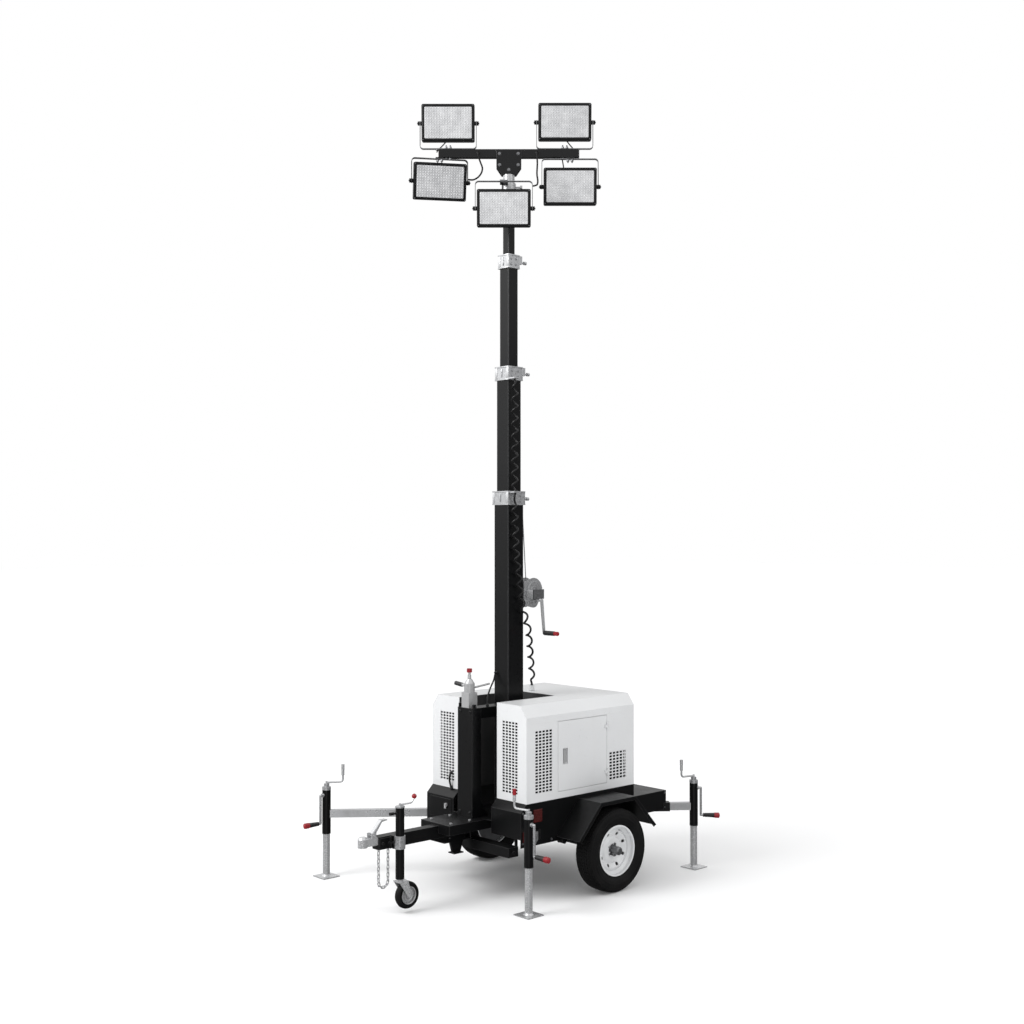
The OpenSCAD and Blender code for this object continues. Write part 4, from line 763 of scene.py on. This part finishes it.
def makeDiodes(i, look):
    m = lampMatrix(i)
    bm = bmesh.new()
    front = -mm(lamp["depth"] / 2 + 6 + 4)
    w = mm(lamp["width"] / 2 - look["margin"] - 8)
    h = mm(lamp["height"] / 2 - look["margin"] - 8)
    for a in range(look["across"]):
        for b in range(look["down"]):
            x = -w + 2 * w * a / (look["across"] - 1)
            z = -h + 2 * h * b / (look["down"] - 1)
            flat = Matrix.Diagonal((1, look["rise"] / look["dome"] * 2, 1, 1))
            bmesh.ops.create_icosphere(
                bm, subdivisions=1, radius=mm(look["dome"]) / 2,
                matrix=m @ Matrix.Translation((x, front, z)) @ flat,
            )
    newPiece(f"lamp_diodes_{i + 1}", bm, diode, f"lamp_{i + 1}", 60)


for i in range(5):
    makeDiodes(i, diodeGrid)
print("lamps filled")

# Tyres and wheels

tyreLook = {
    "centre": 729,
    "radius": 330,
    "steps": 76,
    "blockHeight": 7,
    "blockEdge": 2.6,
    "slant": (0.0, 1.3, -1.3, 1.3, -1.3, 1.3, 0.0),
    # Radius and distance from the middle plane, from one bead over the tread to the other
    "lines": (-69, -46, -23, 0, 23, 46, 69),
}


def wheelSpot(sign):
    return trailerSpot(0, sign * tyreLook["centre"], tyreLook["radius"], (0, sign, 0))


def makeTyre(side, look):
    place = wheelSpot(-1 if side == "left" else 1)
    floor = look["radius"] - look["blockHeight"]
    crown = [(floor - 0.0011 * h * h, h) for h in look["lines"]]
    wall = [
        (318.5, 71), (313, 77), (304, 80.5), (301, 82.5), (297, 81.5), (282, 84), (264, 85),
        (262, 86.2), (258, 86.2), (256, 84.6), (240, 82.5), (226, 78), (216, 73), (213, 73.6),
        (208, 71), (205, 67.5), (197, 66), (191.5, 62.5), (191.5, 50),
    ]
    profile = (
        [(r, -h) for r, h in reversed(wall)] + crown + wall
        + [(204, 46), (282, 66), (300, 40), (300, -40), (282, -66), (204, -46)]
    )
    bm = bmesh.new()
    spun(bm, place, profile, look["steps"])
    bmesh.ops.remove_doubles(bm, verts=bm.verts, dist=1e-5)
    bmesh.ops.recalc_face_normals(bm, faces=bm.faces)
    back = place.inverted()
    # The lines between the blocks lean one way and then the other
    for vert in bm.verts:
        p = back @ vert.co * 1000
        if math.hypot(p.x, p.y) < 315:
            continue
        for h, lean in zip(look["lines"], look["slant"]):
            if abs(p.z - h) < 0.5 and lean:
                vert.co = place @ rotated(lean, "Z") @ (back @ vert.co)
    tread, shoulder, ribs = [], [], []
    for face in bm.faces:
        p = back @ face.calc_center_median() * 1000
        out = math.hypot(p.x, p.y)
        if out > 316 and abs(p.z) < 69:
            tread.append(face)
        elif 304 < out < 318 and 71 < abs(p.z) < 81:
            shoulder.append(face)
        elif 283 < out < 297 and abs(p.z) > 81:
            ribs.append(face)
    for faces, inward, raised in ((tread, look["blockEdge"], look["blockHeight"] - 0.6),
                                  (shoulder, 2.2, 2.4), (ribs, 2.4, 0.9)):
        bmesh.ops.inset_individual(
            bm, faces=faces, thickness=mm(inward), depth=mm(raised), use_even_offset=True,
        )
    piece = newPiece("tyre_" + side + "_tread", bm, tyreRubber, "wheel_" + side, 24)
    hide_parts("tyre_" + side)


drumLook = {"radius": 158, "depth": 52, "plate": 184, "stem": 11}


def makeDrum(side, look):
    place = wheelSpot(-1 if side == "left" else 1)
    r, deep = look["radius"], look["depth"]
    plate = look["plate"]
    bm = bmesh.new()
    # The backing plate reaches out over the inside of the rim's barrel, which is dark there only by
    # shade: a brake plate and a painted shade in one
    spun(bm, place, [(62, -4), (96, -8), (r - 8, -10), (r, -16), (r + 3, -20), (r, -24),
                     (r, -deep + 12), (plate, -deep + 8), (plate, -deep), (62, -deep)], 56)
    newPiece("drum_" + side, bm, gunMetal, "wheel_" + side, 30)
    # Valve with its cap, and the washers under the wheel nuts
    bm = bmesh.new()
    stem = place @ rotated(64, "Z") @ shifted(158, 0, 20)
    d = look["stem"]
    spun(bm, stem, [(0, -8), (d * 0.62, -8), (d * 0.62, 2), (d * 0.3, 6), (d * 0.3, 22),
                    (d * 0.36, 23), (d * 0.36, 33), (0, 35)], 14, False)
    for k in range(5):
        spot = place @ rotated(72 * k, "Z") @ shifted(46, 0, 0)
        spun(bm, spot, [(0, 22), (15, 22), (15, 24), (11.5, 26.5), (0, 26.5)], 18, False)
    newPiece("wheel_fittings_" + side, bm, plated, "wheel_" + side, 30)


for side in ("left", "right"):
    makeTyre(side, tyreLook)
    makeDrum(side, drumLook)
print("wheels shod")


# The chain

chainLook = {"x": -1635, "y": 90, "top": 514, "pitch": 29.2, "half": 44.66, "side": 10, "wire": 7.4}


def chainLink(bm, place, wire):
    # A ring, drawn out to a link by moving its two halves apart
    line = bmesh.ops.create_circle(
        bm, segments=8, radius=mm(wire / 2),
        matrix=shifted(9, 0, 0) @ rotated(90, "X"),
    )["verts"]
    edges = list({edge for vert in line for edge in vert.link_edges})
    before = set(bm.verts) - set(line)
    bmesh.ops.rotate(bm, verts=line, cent=(0, 0, 0), matrix=Matrix.Rotation(math.pi / 12, 3, "Z"))
    bmesh.ops.spin(bm, geom=line + edges, cent=(0, 0, 0), axis=(0, 0, 1), angle=2 * math.pi,
                   steps=12, use_merge=True)
    made = [vert for vert in bm.verts if vert not in before]
    for vert in made:
        vert.co.y += mm(9.4) if vert.co.y > 0 else -mm(9.4)
    bmesh.ops.transform(bm, verts=made, matrix=place @ rotated(90, "X"))


def makeChain(look):
    bm = bmesh.new()
    root = Matrix.Translation(
        at(look["x"], look["y"], look["top"] - (look["side"] + 0.5) * look["pitch"]))
    reach = look["half"] * math.cos(math.radians(18))
    for i in range(-2, 3):
        a = math.radians(36 * i)
        place = shifted(reach * math.sin(a), 0, -reach * math.cos(a) - 0.7)
        place = place @ Matrix.Rotation(math.pi / 2 - a, 4, "Y")
        chainLink(bm, root @ place @ Matrix.Rotation(0 if i % 2 == 0 else math.pi / 2, 4, "Z"),
                  look["wire"])
    for sign in (-1, 1):
        for k in range(look["side"]):
            place = shifted(sign * look["half"], 0, (k + 0.5) * look["pitch"])
            chainLink(bm, root @ place @ Matrix.Rotation(math.pi / 2 if k % 2 == 0 else 0, 4, "Z"),
                      look["wire"])
    piece = newPiece("chain_links", bm, plated, "trailer", 50)
    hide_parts("safety_chain")


makeChain(chainLook)
print("chain hung")


# Vents

# Middle and half size of each vent, and the way its outside looks
ventSpots = {
    "side_left": ((-583, -541, 1073.5), (100, 248), (0, -1, 0)),
    "side_right": ((-583, 541, 1073.5), (100, 248), (0, 1, 0)),
    "rear_left": ((254.5, -541, 947), (106, 120), (0, -1, 0)),
    "rear_right": ((254.5, 541, 947), (106, 120), (0, 1, 0)),
    "front_left": ((-739, -379, 1101.5), (97, 286), (-1, 0, 0)),
    "front_right": ((-739, 379, 1101.5), (97, 286), (-1, 0, 0)),
    "back_left": ((425, -379, 1101.5), (97, 286), (1, 0, 0)),
    "back_right": ((425, 379, 1101.5), (97, 286), (1, 0, 0)),
}
ventLook = {"cell": 30, "rise": 9, "board": 4}


# A sheet of ridged foam stands behind each punched panel
def makeVentFoam(name, look):
    middle, (across, high), outward = ventSpots[name]
    bm = bmesh.new()
    place = turned(at(*middle), outward)
    stretch = (across, high)
    up = place.inverted().to_3x3() @ Vector((0, 0, 1))
    if abs(up.x) > abs(up.y):
        stretch = (high, across)
    cols = round(2 * stretch[0] / look["cell"])
    rows = round(2 * stretch[1] / look["cell"])
    bmesh.ops.create_grid(
        bm, x_segments=cols, y_segments=rows, size=1,
        matrix=place @ Matrix.Diagonal((mm(stretch[0]), mm(stretch[1]), 1, 1)),
    )
    bmesh.ops.solidify(bm, geom=list(bm.faces), thickness=mm(look["board"]))
    front = [face for face in bm.faces if face.normal.dot(Vector(outward)) > 0.9]
    bmesh.ops.inset_individual(
        bm, faces=front, thickness=mm(look["cell"] * 0.3), depth=mm(look["rise"]),
        use_even_offset=True,
    )
    newPiece("vent_foam_" + name, bm, foam, "trailer", 20)


for name in ventSpots:
    makeVentFoam(name, ventLook)
print("vents backed")


# Reflectors

reflectorSpots = (
    ((-650, -567.3, 664), (46, 50)),
    ((-786, -567.3, 520), (22, 40)),
)
reflectorSize = {"thick": 7, "rim": 5, "prisms": 7}


def makeReflectors(look):
    bm = bmesh.new()
    for middle, (across, high) in reflectorSpots:
        place = turned(at(*middle), (0, -1, 0))
        easedBox(bm, place, (-across, -high, 0), (across, high, look["thick"]), 3)
        front = shifted(0, 0, look["thick"] + 0.2)
        made = bmesh.ops.create_grid(
            bm, x_segments=look["prisms"], y_segments=look["prisms"], size=1,
            matrix=place @ front @ Matrix.Diagonal(
                (mm(across - look["rim"]), mm(high - look["rim"]), 1, 1)),
        )["verts"]
        faces = list({face for vert in made for face in vert.link_faces})
        bmesh.ops.poke(bm, faces=faces, offset=mm(1.6))
    newPiece("side_reflectors", bm, reflectorRed, "trailer", 10)


makeReflectors(reflectorSize)
print("reflectors set")


# Bolts on the frame

def makeBolts(name, body, bolts, finish):
    bm = bmesh.new()
    for x, y, z, way, across, height in bolts:
        boltHead(bm, trailerSpot(x, y, z, way), across, height)
    newPiece(name, bm, finish, body, 30)


wallBolts = [
    (x, -567, z, (0, -1, 0), 15, 6) for x, z in ((-806, 470), (-806, 700), (-500, 462), (470, 640),
                                                (470, 520), (838, 640), (838, 520))
]
makeBolts("wall_bolts", "trailer", wallBolts, gunMetal)
print("frame bolted")


# Collars

# Height of the bottom, half the width, and what each one rides on
collars = ((collarLow, 93, "trailer"), (secondCollar, 79, "mast_2"), (thirdCollar, 61.5, "mast_3"))
collarLook = {
    "height": 112, "lip": 5, "lipHeight": 9, "ease": 7, "strip": 24, "bolt": 17, "boltHeight": 9,
}


# A line of distance out from the sides of a rectangle and height, carried round it
def squareRing(bm, place, halfX, halfY, profile, ease):
    half = min(halfX, halfY)
    turn = place @ rotated(45, "Z")
    old = set(bm.verts)
    spun(bm, turn, [((half + out) * math.sqrt(2), h) for out, h in profile], 4)
    made = [vert for vert in bm.verts if vert not in old]
    back = place.inverted()
    corner = {}
    for vert in made:
        p = back @ vert.co
        corner[vert] = (p.x > 0, p.y > 0)
        p.x += math.copysign(mm(halfX - half), p.x)
        p.y += math.copysign(mm(halfY - half), p.y)
        vert.co = place @ p
    edges = {edge for vert in made for edge in vert.link_edges}
    edges = [edge for edge in edges if corner[edge.verts[0]] == corner[edge.verts[1]]]
    if ease:
        bevelled(bm, edges, ease, 3)


def makeCollar(low, half, body, look):
    high = low + look["height"]
    bm = bmesh.new()
    place = Matrix.Translation(at(mastX, 0, 0))
    out, tall = look["lip"], look["lipHeight"]
    for z in (low, high - tall):
        squareRing(bm, place, half, half, [(-2, z), (out, z), (out, z + tall), (-2, z + tall)],
                   look["ease"])
    for way in (-1, 1):
        for k in (-1, 1):
            for z in (low + 34, high - 34):
                boltHead(bm, trailerSpot(mastX + k * half * 0.42, way * half, z, (0, way, 0)),
                         look["bolt"], look["boltHeight"])
        easedBox(bm, trailerSpot(mastX + way * half, 0, low + look["height"] / 2, (way, 0, 0)),
                 (-4, -34, -1), (4, 34, 6), 2)
    newPiece(f"collar_{low}", bm, zinc, body, 30)
    # Bright plated strips at the corners of the front and the rear face: a painted highlight
    # standing for the shine on the collar's rounded corners
    bm = bmesh.new()
    for way in (-1, 1):
        for k in (-1, 1):
            middle = k * (half - look["strip"] / 2)
            spot = trailerSpot(mastX + way * half, middle, low + look["height"] / 2, (way, 0, 0))
            easedBox(bm, spot, (-look["strip"] / 2, -look["height"] / 2 + tall, -0.5),
                     (look["strip"] / 2, look["height"] / 2 - tall, 3), 1.2)
    newPiece(f"collar_highlight_strips_{low}", bm, plated, body, 30)


for low, half, body in collars:
    makeCollar(low, half, body, collarLook)
print("collars lipped")


# The bar and the lamps on it

head = Matrix.Translation(at(mastX, 0, barZ)) @ Matrix.Rotation(headTurn, 4, "Z")
barLook = {"half": 32, "stud": 12, "nut": 24, "yokeRise": 44.6, "plate": 40.2}


def headSpot(across, ahead, rise, way):
    return head @ turned(Vector((across, ahead, rise)) / 1000, way)


def makeBarBolts(look):
    bm = bmesh.new()
    # Bolts through the middle bracket, front and back
    for side in (-1, 1):
        for across, rise in ((-76, -8), (76, -8), (-76, -100), (76, -100), (0, -140)):
            boltHead(bm, headSpot(across, side * look["plate"], rise, (0, side, 0)), 21, 10)
    # Studs that hold the yokes to the bar
    for across, _, rise, _, _ in lampSpots[:4]:
        up = 1 if rise > 0 else -1
        for k in (-1, 1):
            spot = headSpot(across + 17 * k, 0, up * look["yokeRise"], (0, 0, up))
            boltHead(bm, spot, look["nut"], 12)
            spun(bm, spot, [(0, 10), (look["stud"] / 2, 10), (look["stud"] / 2, 26), (4.4, 28),
                            (0, 28)], 12, False)
            spot = headSpot(across + 17 * k, 0, -up * look["half"], (0, 0, -up))
            boltHead(bm, spot, look["nut"], 12)
    newPiece("bar_bolts", bm, gunMetal, "light_head", 30)


makeBarBolts(barLook)

rimLook = {"inner": 24, "outer": 3, "rise": 4.5, "ease": 12, "screw": 9, "driver": (150, 88, 26)}


def makeLampRim(i, look):
    place = lampMatrix(i) @ rotated(90, "X")
    front = lamp["depth"] / 2 + 6
    w, h = lamp["width"] / 2, lamp["height"] / 2
    bm = bmesh.new()
    squareRing(bm, place, w, h, [(-look["inner"] + 1, front - 2), (-look["inner"] + 1, front + 3),
                                 (-look["inner"] + 4, front + 4.2), (-10, front + look["rise"]),
                                 (-7, front + 2.5), (-look["outer"], front + 1.5),
                                 (-look["outer"], front - 2)], look["ease"])
    # Driver box behind the fins, and its gland
    a, b, c = look["driver"]
    easedBox(bm, place, (-a / 2, -b / 2, -lamp["depth"] / 2 - 20 - c),
             (a / 2, b / 2, -lamp["depth"] / 2 - 14), 4)
    spun(bm, place @ shifted(0, -b / 2, -lamp["depth"] / 2 - 32)
         @ rotated(90, "X"),
         [(0, -2), (11, -2), (11, 8), (9, 10), (9, 17), (6, 22), (0, 22)], 16, False)
    newPiece(f"lamp_rim_{i + 1}", bm, lampBody, f"lamp_{i + 1}", 30)
    bm = bmesh.new()
    for x in (-w + 12, w - 12):
        for y in (-h + 12, h - 12):
            spun(bm, place @ shifted(x, y, front + look["rise"] - 0.6),
                 [(0, 0), (look["screw"] / 2, 0), (look["screw"] / 2, 2), (look["screw"] / 3, 3.2),
                  (2, 3.2), (2, 1.4), (0, 1.4)], 12, False)
    for side in (-1, 1):
        edge = place @ shifted(side * (w + 30), 0, 0) @ Matrix.Rotation(
            side * math.pi / 2, 4, "Y")
        spun(bm, edge, [(0, 0), (8, 0), (8, 6), (5, 8), (0, 8)], 6, False)
    newPiece(f"lamp_screws_{i + 1}", bm, gunMetal, f"lamp_{i + 1}", 30)


for i in range(5):
    makeLampRim(i, rimLook)
print("lamps framed")


# Loose cables

cableLook = {"mastCable": 14, "supply": 16, "lead": 14, "tail": 10}

makeCord(
    "mast_cable", "trailer",
    [(-690, -30, 1442), (-690, -29, 1490), (-660, -5, 1540), (-600, 35, 1590), (-548, 52, 1650),
     (-528, 56, 1700), (-508, 56, 1706)], cableLook["mastCable"], "mast_cables",
)
makeCord(
    "supply_cable", "trailer",
    [(-758, 320, 890), (-786, 319, 880), (-794, 317, 830), (-784, 316, 790), (-776, 316, 752)],
    cableLook["supply"], "mast_cables",
)


def inTrailer(place, x, y, z):
    return tuple(local(place @ (Vector((x, y, z)) / 1000)))


lampReach = lamp["width"] / 2 + 16.6
face = -39.3
makeCord(
    "lamp_lead_3", "light_head",
    [inTrailer(head, *p) for p in ((-250, -16, 4), (-250, face - 8, 0), (-249, face - 6, -30),
                                   (-232, face, -78), (-216, face + 6, -130))]
    + [inTrailer(lampMatrix(2), lampReach + x, y, z)
       for x, y, z in ((92, -8, 62), (48, 0, 30), (0, 0, 28))], cableLook["lead"], "lamp_leads",
)
makeCord(
    "lamp_lead_5", "light_head",
    [inTrailer(head, *p) for p in ((230, -16, 4), (230, face - 8, 0), (230, face - 6, -30),
                                   (232, -72, -96), (228, -112, -190))]
    + [inTrailer(lampMatrix(4), lampReach + x, 0, z) for x, z in ((36, 190), (0, 176))],
    cableLook["lead"], "lamp_leads",
)


# A short lead from a lamp's driver box to the bar
def makeTail(i, along, rise, bow=0):
    place = lampMatrix(i) @ rotated(90, "X")
    gland = Vector((0, -60, -63))
    # Straight down, or over a wide bow and back up
    drops = [(0, -34, -6), (0, -44, -bow / 2), (0, -24, -bow)] if bow else [(0, -46, 0)]
    route = [inTrailer(place, *(gland + Vector(drop))) for drop in [(0, 0, 0)] + drops]
    route += [inTrailer(head, along, 44, rise * 1.6), inTrailer(head, along, 18, rise)]
    points, _ = smoothRoute(route, 0.01)
    bm = tubeAlong(points, mm(cableLook["tail"]) / 2, 10)
    piece = newPiece(f"lamp_tail_{i + 1}", bm, cordRubber, None)
    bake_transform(piece)
    declareCord(points, cableLook["tail"])


# The lamp, the place along the bar, the height of the entry, and how wide the lead bows
for tail in ((0, -590, 22), (1, 545, 22), (3, 440, -22, 56)):
    makeTail(*tail)
print("cables led")


# Glands where the cables enter

roofZ = 1511
glandLook = {"collar": 13, "tall": 12}


def gland(bm, place, hole):
    r = glandLook["collar"]
    spun(bm, place, [(hole, -3), (r, -3), (r, 5), (r - 2, 7), (r - 2, glandLook["tall"]),
                     (hole + 1.6, glandLook["tall"] + 9), (hole, glandLook["tall"] + 10)], 18)


bm = bmesh.new()
for x, y, z, way, hole in ((-515, 56, 1705, (-1, 0, 0), 7.2), (-766, 320, 889, (-1, 0, 0), 8.2),
                           (-776, 316, 764, (0, 0, 1), 8.2), (-690, -30, 1460, (0, 0, 1), 7.2)):
    gland(bm, trailerSpot(x, y, z, way), hole)
newPiece("cable_glands", bm, blackGrip, "trailer", 30)
bm = bmesh.new()
for along in (-250, 230):
    gland(bm, headSpot(along, -32, 2, (0, -1, 0)), 7.2)
newPiece("bar_glands", bm, blackGrip, "light_head", 30)
# A tapering relief stands on the roof round the foot of the coiled cord
bm = bmesh.new()
foot = trailerSpot(-60, 120, roofZ, (0, 0, 1))
spun(bm, foot, [(0, -2), (26, -2), (26, 6), (20, 9), (20, 20), (16, 23), (14, 36), (10, 52),
                (8.6, 66), (6.4, 68), (6.4, 60), (0, 60)], 24, False)
for k in range(4):
    ridge(bm, foot, 14.6 - k * 1.4, 30 + k * 8, 1.2)
newPiece("cord_relief", bm, blackGrip, "trailer", 30)
print("glands set")


# Grips

gripLook = {"ridges": 8, "first": 84, "last": 166, "small": 15.6, "large": 18.8, "rise": 1.5}


def makeJackGrip(name, look):
    x, y = jackPlaces[name]
    turn = math.radians(jackTurns[name])
    place = trailerSpot(x, y, sideCrankZ, (math.cos(turn), math.sin(turn), 0))
    bm = bmesh.new()
    for k in range(look["ridges"]):
        share = k / (look["ridges"] - 1)
        spot = look["first"] + share * (look["last"] - look["first"])
        radius = look["small"] + share * (look["large"] - look["small"])
        ridge(bm, place, radius, spot, look["rise"])
    newPiece("jack_grip_" + name, bm, blackGrip, "outrigger_" + name, 24)
    bm = bmesh.new()
    for k in range(4):
        ridge(bm, place, 21.8, 180 + k * 8, 1.2)
    spun(bm, place, [(0, 212), (19, 213), (14, 217), (7, 219), (0, 219.4)], 22, False)
    newPiece("jack_grip_end_" + name, bm, redGrip, "outrigger_" + name, 24)


for name in jackPlaces:
    makeJackGrip(name, gripLook)
print("grips ribbed")


# The winch

winchLook = {"x": -242, "y": -95, "z": 2344, "turns": 11, "teeth": 36}


def makeWinchDetail(look):
    x, y, z = look["x"], look["y"], look["z"]
    bm = bmesh.new()
    place = trailerSpot(x, y + 9, z + 30, (0, 1, 0))
    for k in range(look["turns"]):
        ring = [(41 + 4 * math.cos(a), k * 8 + 3 + 4 * math.sin(a)) for a in
                [math.pi / 4 * j for j in range(8)]]
        spun(bm, place, ring, 30)
    newPiece("winch_rope", bm, gunMetal, "trailer", 40)
    # Teeth round the large gear
    bm = bmesh.new()
    count = look["teeth"] * 4
    made = bmesh.ops.create_cone(
        bm, cap_ends=True, segments=count, radius1=mm(74), radius2=mm(74), depth=mm(7),
        matrix=Matrix.Rotation(math.pi / count, 4, "Z"),
    )["verts"]
    for vert in made:
        turn = math.degrees(math.atan2(vert.co.y, vert.co.x)) % (360 / look["teeth"])
        if turn < 180 / look["teeth"]:
            vert.co.x *= 1.075
            vert.co.y *= 1.075
    bmesh.ops.transform(bm, verts=made, matrix=trailerSpot(x, y - 3.4, z + 30, (0, -1, 0)))
    front = trailerSpot(x, y - 7, z + 30, (0, -1, 0))
    for a in range(6):
        boltHead(bm, front @ rotated(60 * a, "Z") @ shifted(52, 0, 0), 11, 5)
    for r in (26, 62):
        spun(bm, front, [(r, -1), (r, 1.4), (r + 1.4, 2.6), (r + 4.6, 2.6), (r + 6, 1.4),
                         (r + 6, -1)], 48)
    newPiece("winch_gear", bm, zinc, "trailer", 30)
    # Pressed ribs and rivets on the brake cover
    bm = bmesh.new()
    cover = trailerSpot(-223, -137, 2339, (0, -1, 0))
    for k in (-1, 0, 1):
        easedBox(bm, cover, (-22, k * 32 - 6, -1), (22, k * 32 + 6, 3), 2.4)
    for across in (-33, 33):
        for up in (-52, 52):
            spun(bm, cover @ shifted(across, up, 0),
                 [(0, -1), (4, -1), (4, 1), (2.4, 2.6), (0, 3)], 12, False)
    newPiece("winch_cover_ribs", bm, gunMetal, "trailer", 30)
    bm = bmesh.new()
    for k in range(5):
        easedBox(bm, trailerSpot(-290 - 9 * k, -101, 2339, (0, -1, 0)), (-2.5, -38 + 4 * k, -1),
                 (2.5, 38, 32 - 3 * k), 1.5)
    newPiece("winch_ribs", bm, plated, "trailer", 30)
    bm = bmesh.new()
    grip = trailerSpot(-216, -194, 2026, (0, -1, 0))
    spun(bm, grip, [(0, -1), (17, -1), (19.5, 3), (18, 10), (18, 108), (19.5, 116), (17.4, 120),
                    (0, 120)], 24, False)
    for k in range(9):
        ridge(bm, grip, 17.8, 16 + k * 10.5, 1.6)
    newPiece("winch_grip", bm, blackGrip, "winch_crank", 30)


makeWinchDetail(winchLook)
print("winch dressed")


# The jockey wheel

jockeyLook = {"x": -1554, "z": 131, "rim": 66}


def makeJockeyDetail(look):
    low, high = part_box("jockey_wheel")
    middle = (local(low).y + local(high).y) / 2
    wide = (local(high).y - local(low).y) / 2
    bm = bmesh.new()
    rim = bmesh.new()
    for sign in (-1, 1):
        place = trailerSpot(look["x"], middle, look["z"], (0, sign, 0))
        for radius in (72, 80, 88):
            ridge(bm, place, radius, wide - 5.5 if radius > 85 else wide - 3.4, 0.6, 40)
        spun(rim, place, [(look["rim"] - 6, wide - 12), (look["rim"] - 6, wide - 4),
                          (look["rim"] - 3, wide - 1.5), (look["rim"], wide - 1.5),
                          (look["rim"] + 1, wide - 4), (look["rim"] + 1, wide - 12)], 40)
        spun(rim, place, [(30, wide - 12), (30, wide - 6), (34, wide - 4), (40, wide - 6),
                          (40, wide - 12)], 36)
    newPiece("jockey_tyre_ribs", bm, tyreRubber, "jockey_wheel", 24)
    newPiece("jockey_rim_rings", rim, cast, "jockey_wheel", 30)


makeJockeyDetail(jockeyLook)
print("jockey wheel dressed")


# Floor and light

stageLook = {
    "floor": (0.9, 0.902, 0.905),
    "glow": 0.2,
    "overhead": 0.98,
    "horizon": 0.68,
    "key": 430,
    "fill": 90,
    # What polished things see: a dim room, a bright ceiling, a pale wall and a strip light
    "room": 0.1,
    "ceiling": 1.1,
    "wall": 0.95,
    "strip": 1.6,
}

f = Finish("studioFloor")
fade = f.noise(0.4, 2)
across, along, _ = f.axes()
# Painted light: the floor glows, weakly round the trailer and fully far out, so it fades to white
# in the distance and stays darker near the trailer
far = (across * across + along * along).smooth(2.5, 30)
paleFloor = f.mix(fade.between(0.3, 0.7), stageLook["floor"], (0.89, 0.892, 0.896))
studioFloor = f.finish(paleFloor, 0.8, Emission_Color=f.mix(far, (0.16, 0.16, 0.16), (1, 1, 1)),
                       Emission_Strength=stageLook["glow"], Specular_IOR_Level=0.0)
bm = bmesh.new()
bmesh.ops.create_grid(bm, x_segments=1, y_segments=1, size=90,
                      matrix=Matrix.Translation((0, 0, -0.0005)))
floorPiece = newPiece("studio_floor", bm, studioFloor, None)
floorPiece.visible_glossy = False
floorPiece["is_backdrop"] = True


# The room is white to look at, and lights the trailer from above more than from the sides
class RoomFinish(Finish):
    def __init__(self, world):
        world.use_nodes = True
        self.tree = world.node_tree
        self.tree.nodes.clear()
        self.place = self.add("TexCoord")[0]
        self.height = None


world = bpy.data.worlds.new("studio")
bpy.context.scene.world = world
room = RoomFinish(world)
x, y, z = room.axes()
seen, _, _, polished = room.add("LightPath")[0:4]
rise = z.between(-0.1, 0.9, stageLook["horizon"], stageLook["overhead"])
wall = (x * -0.68 + y * 0.74).smooth(0.45, 0.9) * z.smooth(-0.16, 0.12, 0.2, 1) * stageLook["wall"]
strip = (x * -0.676 + y * -0.737).smooth(0.955, 0.992) * stageLook["strip"]
mirrored = z.smooth(0.04, 0.34, stageLook["room"], stageLook["ceiling"]) + wall + strip
light = room.add("Background", {}, {0: (1, 1, 1), 1: rise})[0]
gloss = room.add("Background", {}, {0: (1, 1, 1), 1: mirrored})[0]
blank = room.add("Background", {}, {0: (1, 1, 1), 1: 1.0})[0]
lit = room.add("MixShader", {}, {0: polished, 1: light, 2: gloss})[0]
both = room.add("MixShader", {}, {0: seen, 1: lit, 2: blank})[0]
room.add("OutputWorld", {}, {0: both})
bpy.context.scene.view_settings.view_transform = "Standard"


def softbox(name, place, target, size, power):
    light = bpy.data.lights.new(name, "AREA")
    light.shape = "DISK"
    light.size = size
    light.energy = power
    piece = bpy.data.objects.new(name, light)
    bpy.context.scene.collection.objects.link(piece)
    piece.location = place
    aim = Vector(target) - Vector(place)
    piece.rotation_euler = aim.to_track_quat("-Z", "Y").to_euler()


softbox("key_light", (-7, 1.5, 7), (0, 0, 1.5), 4, stageLook["key"])
softbox("fill_light", (1, -8, 6), (0, 0, 2), 5, stageLook["fill"])
print("studio lit")

low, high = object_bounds()
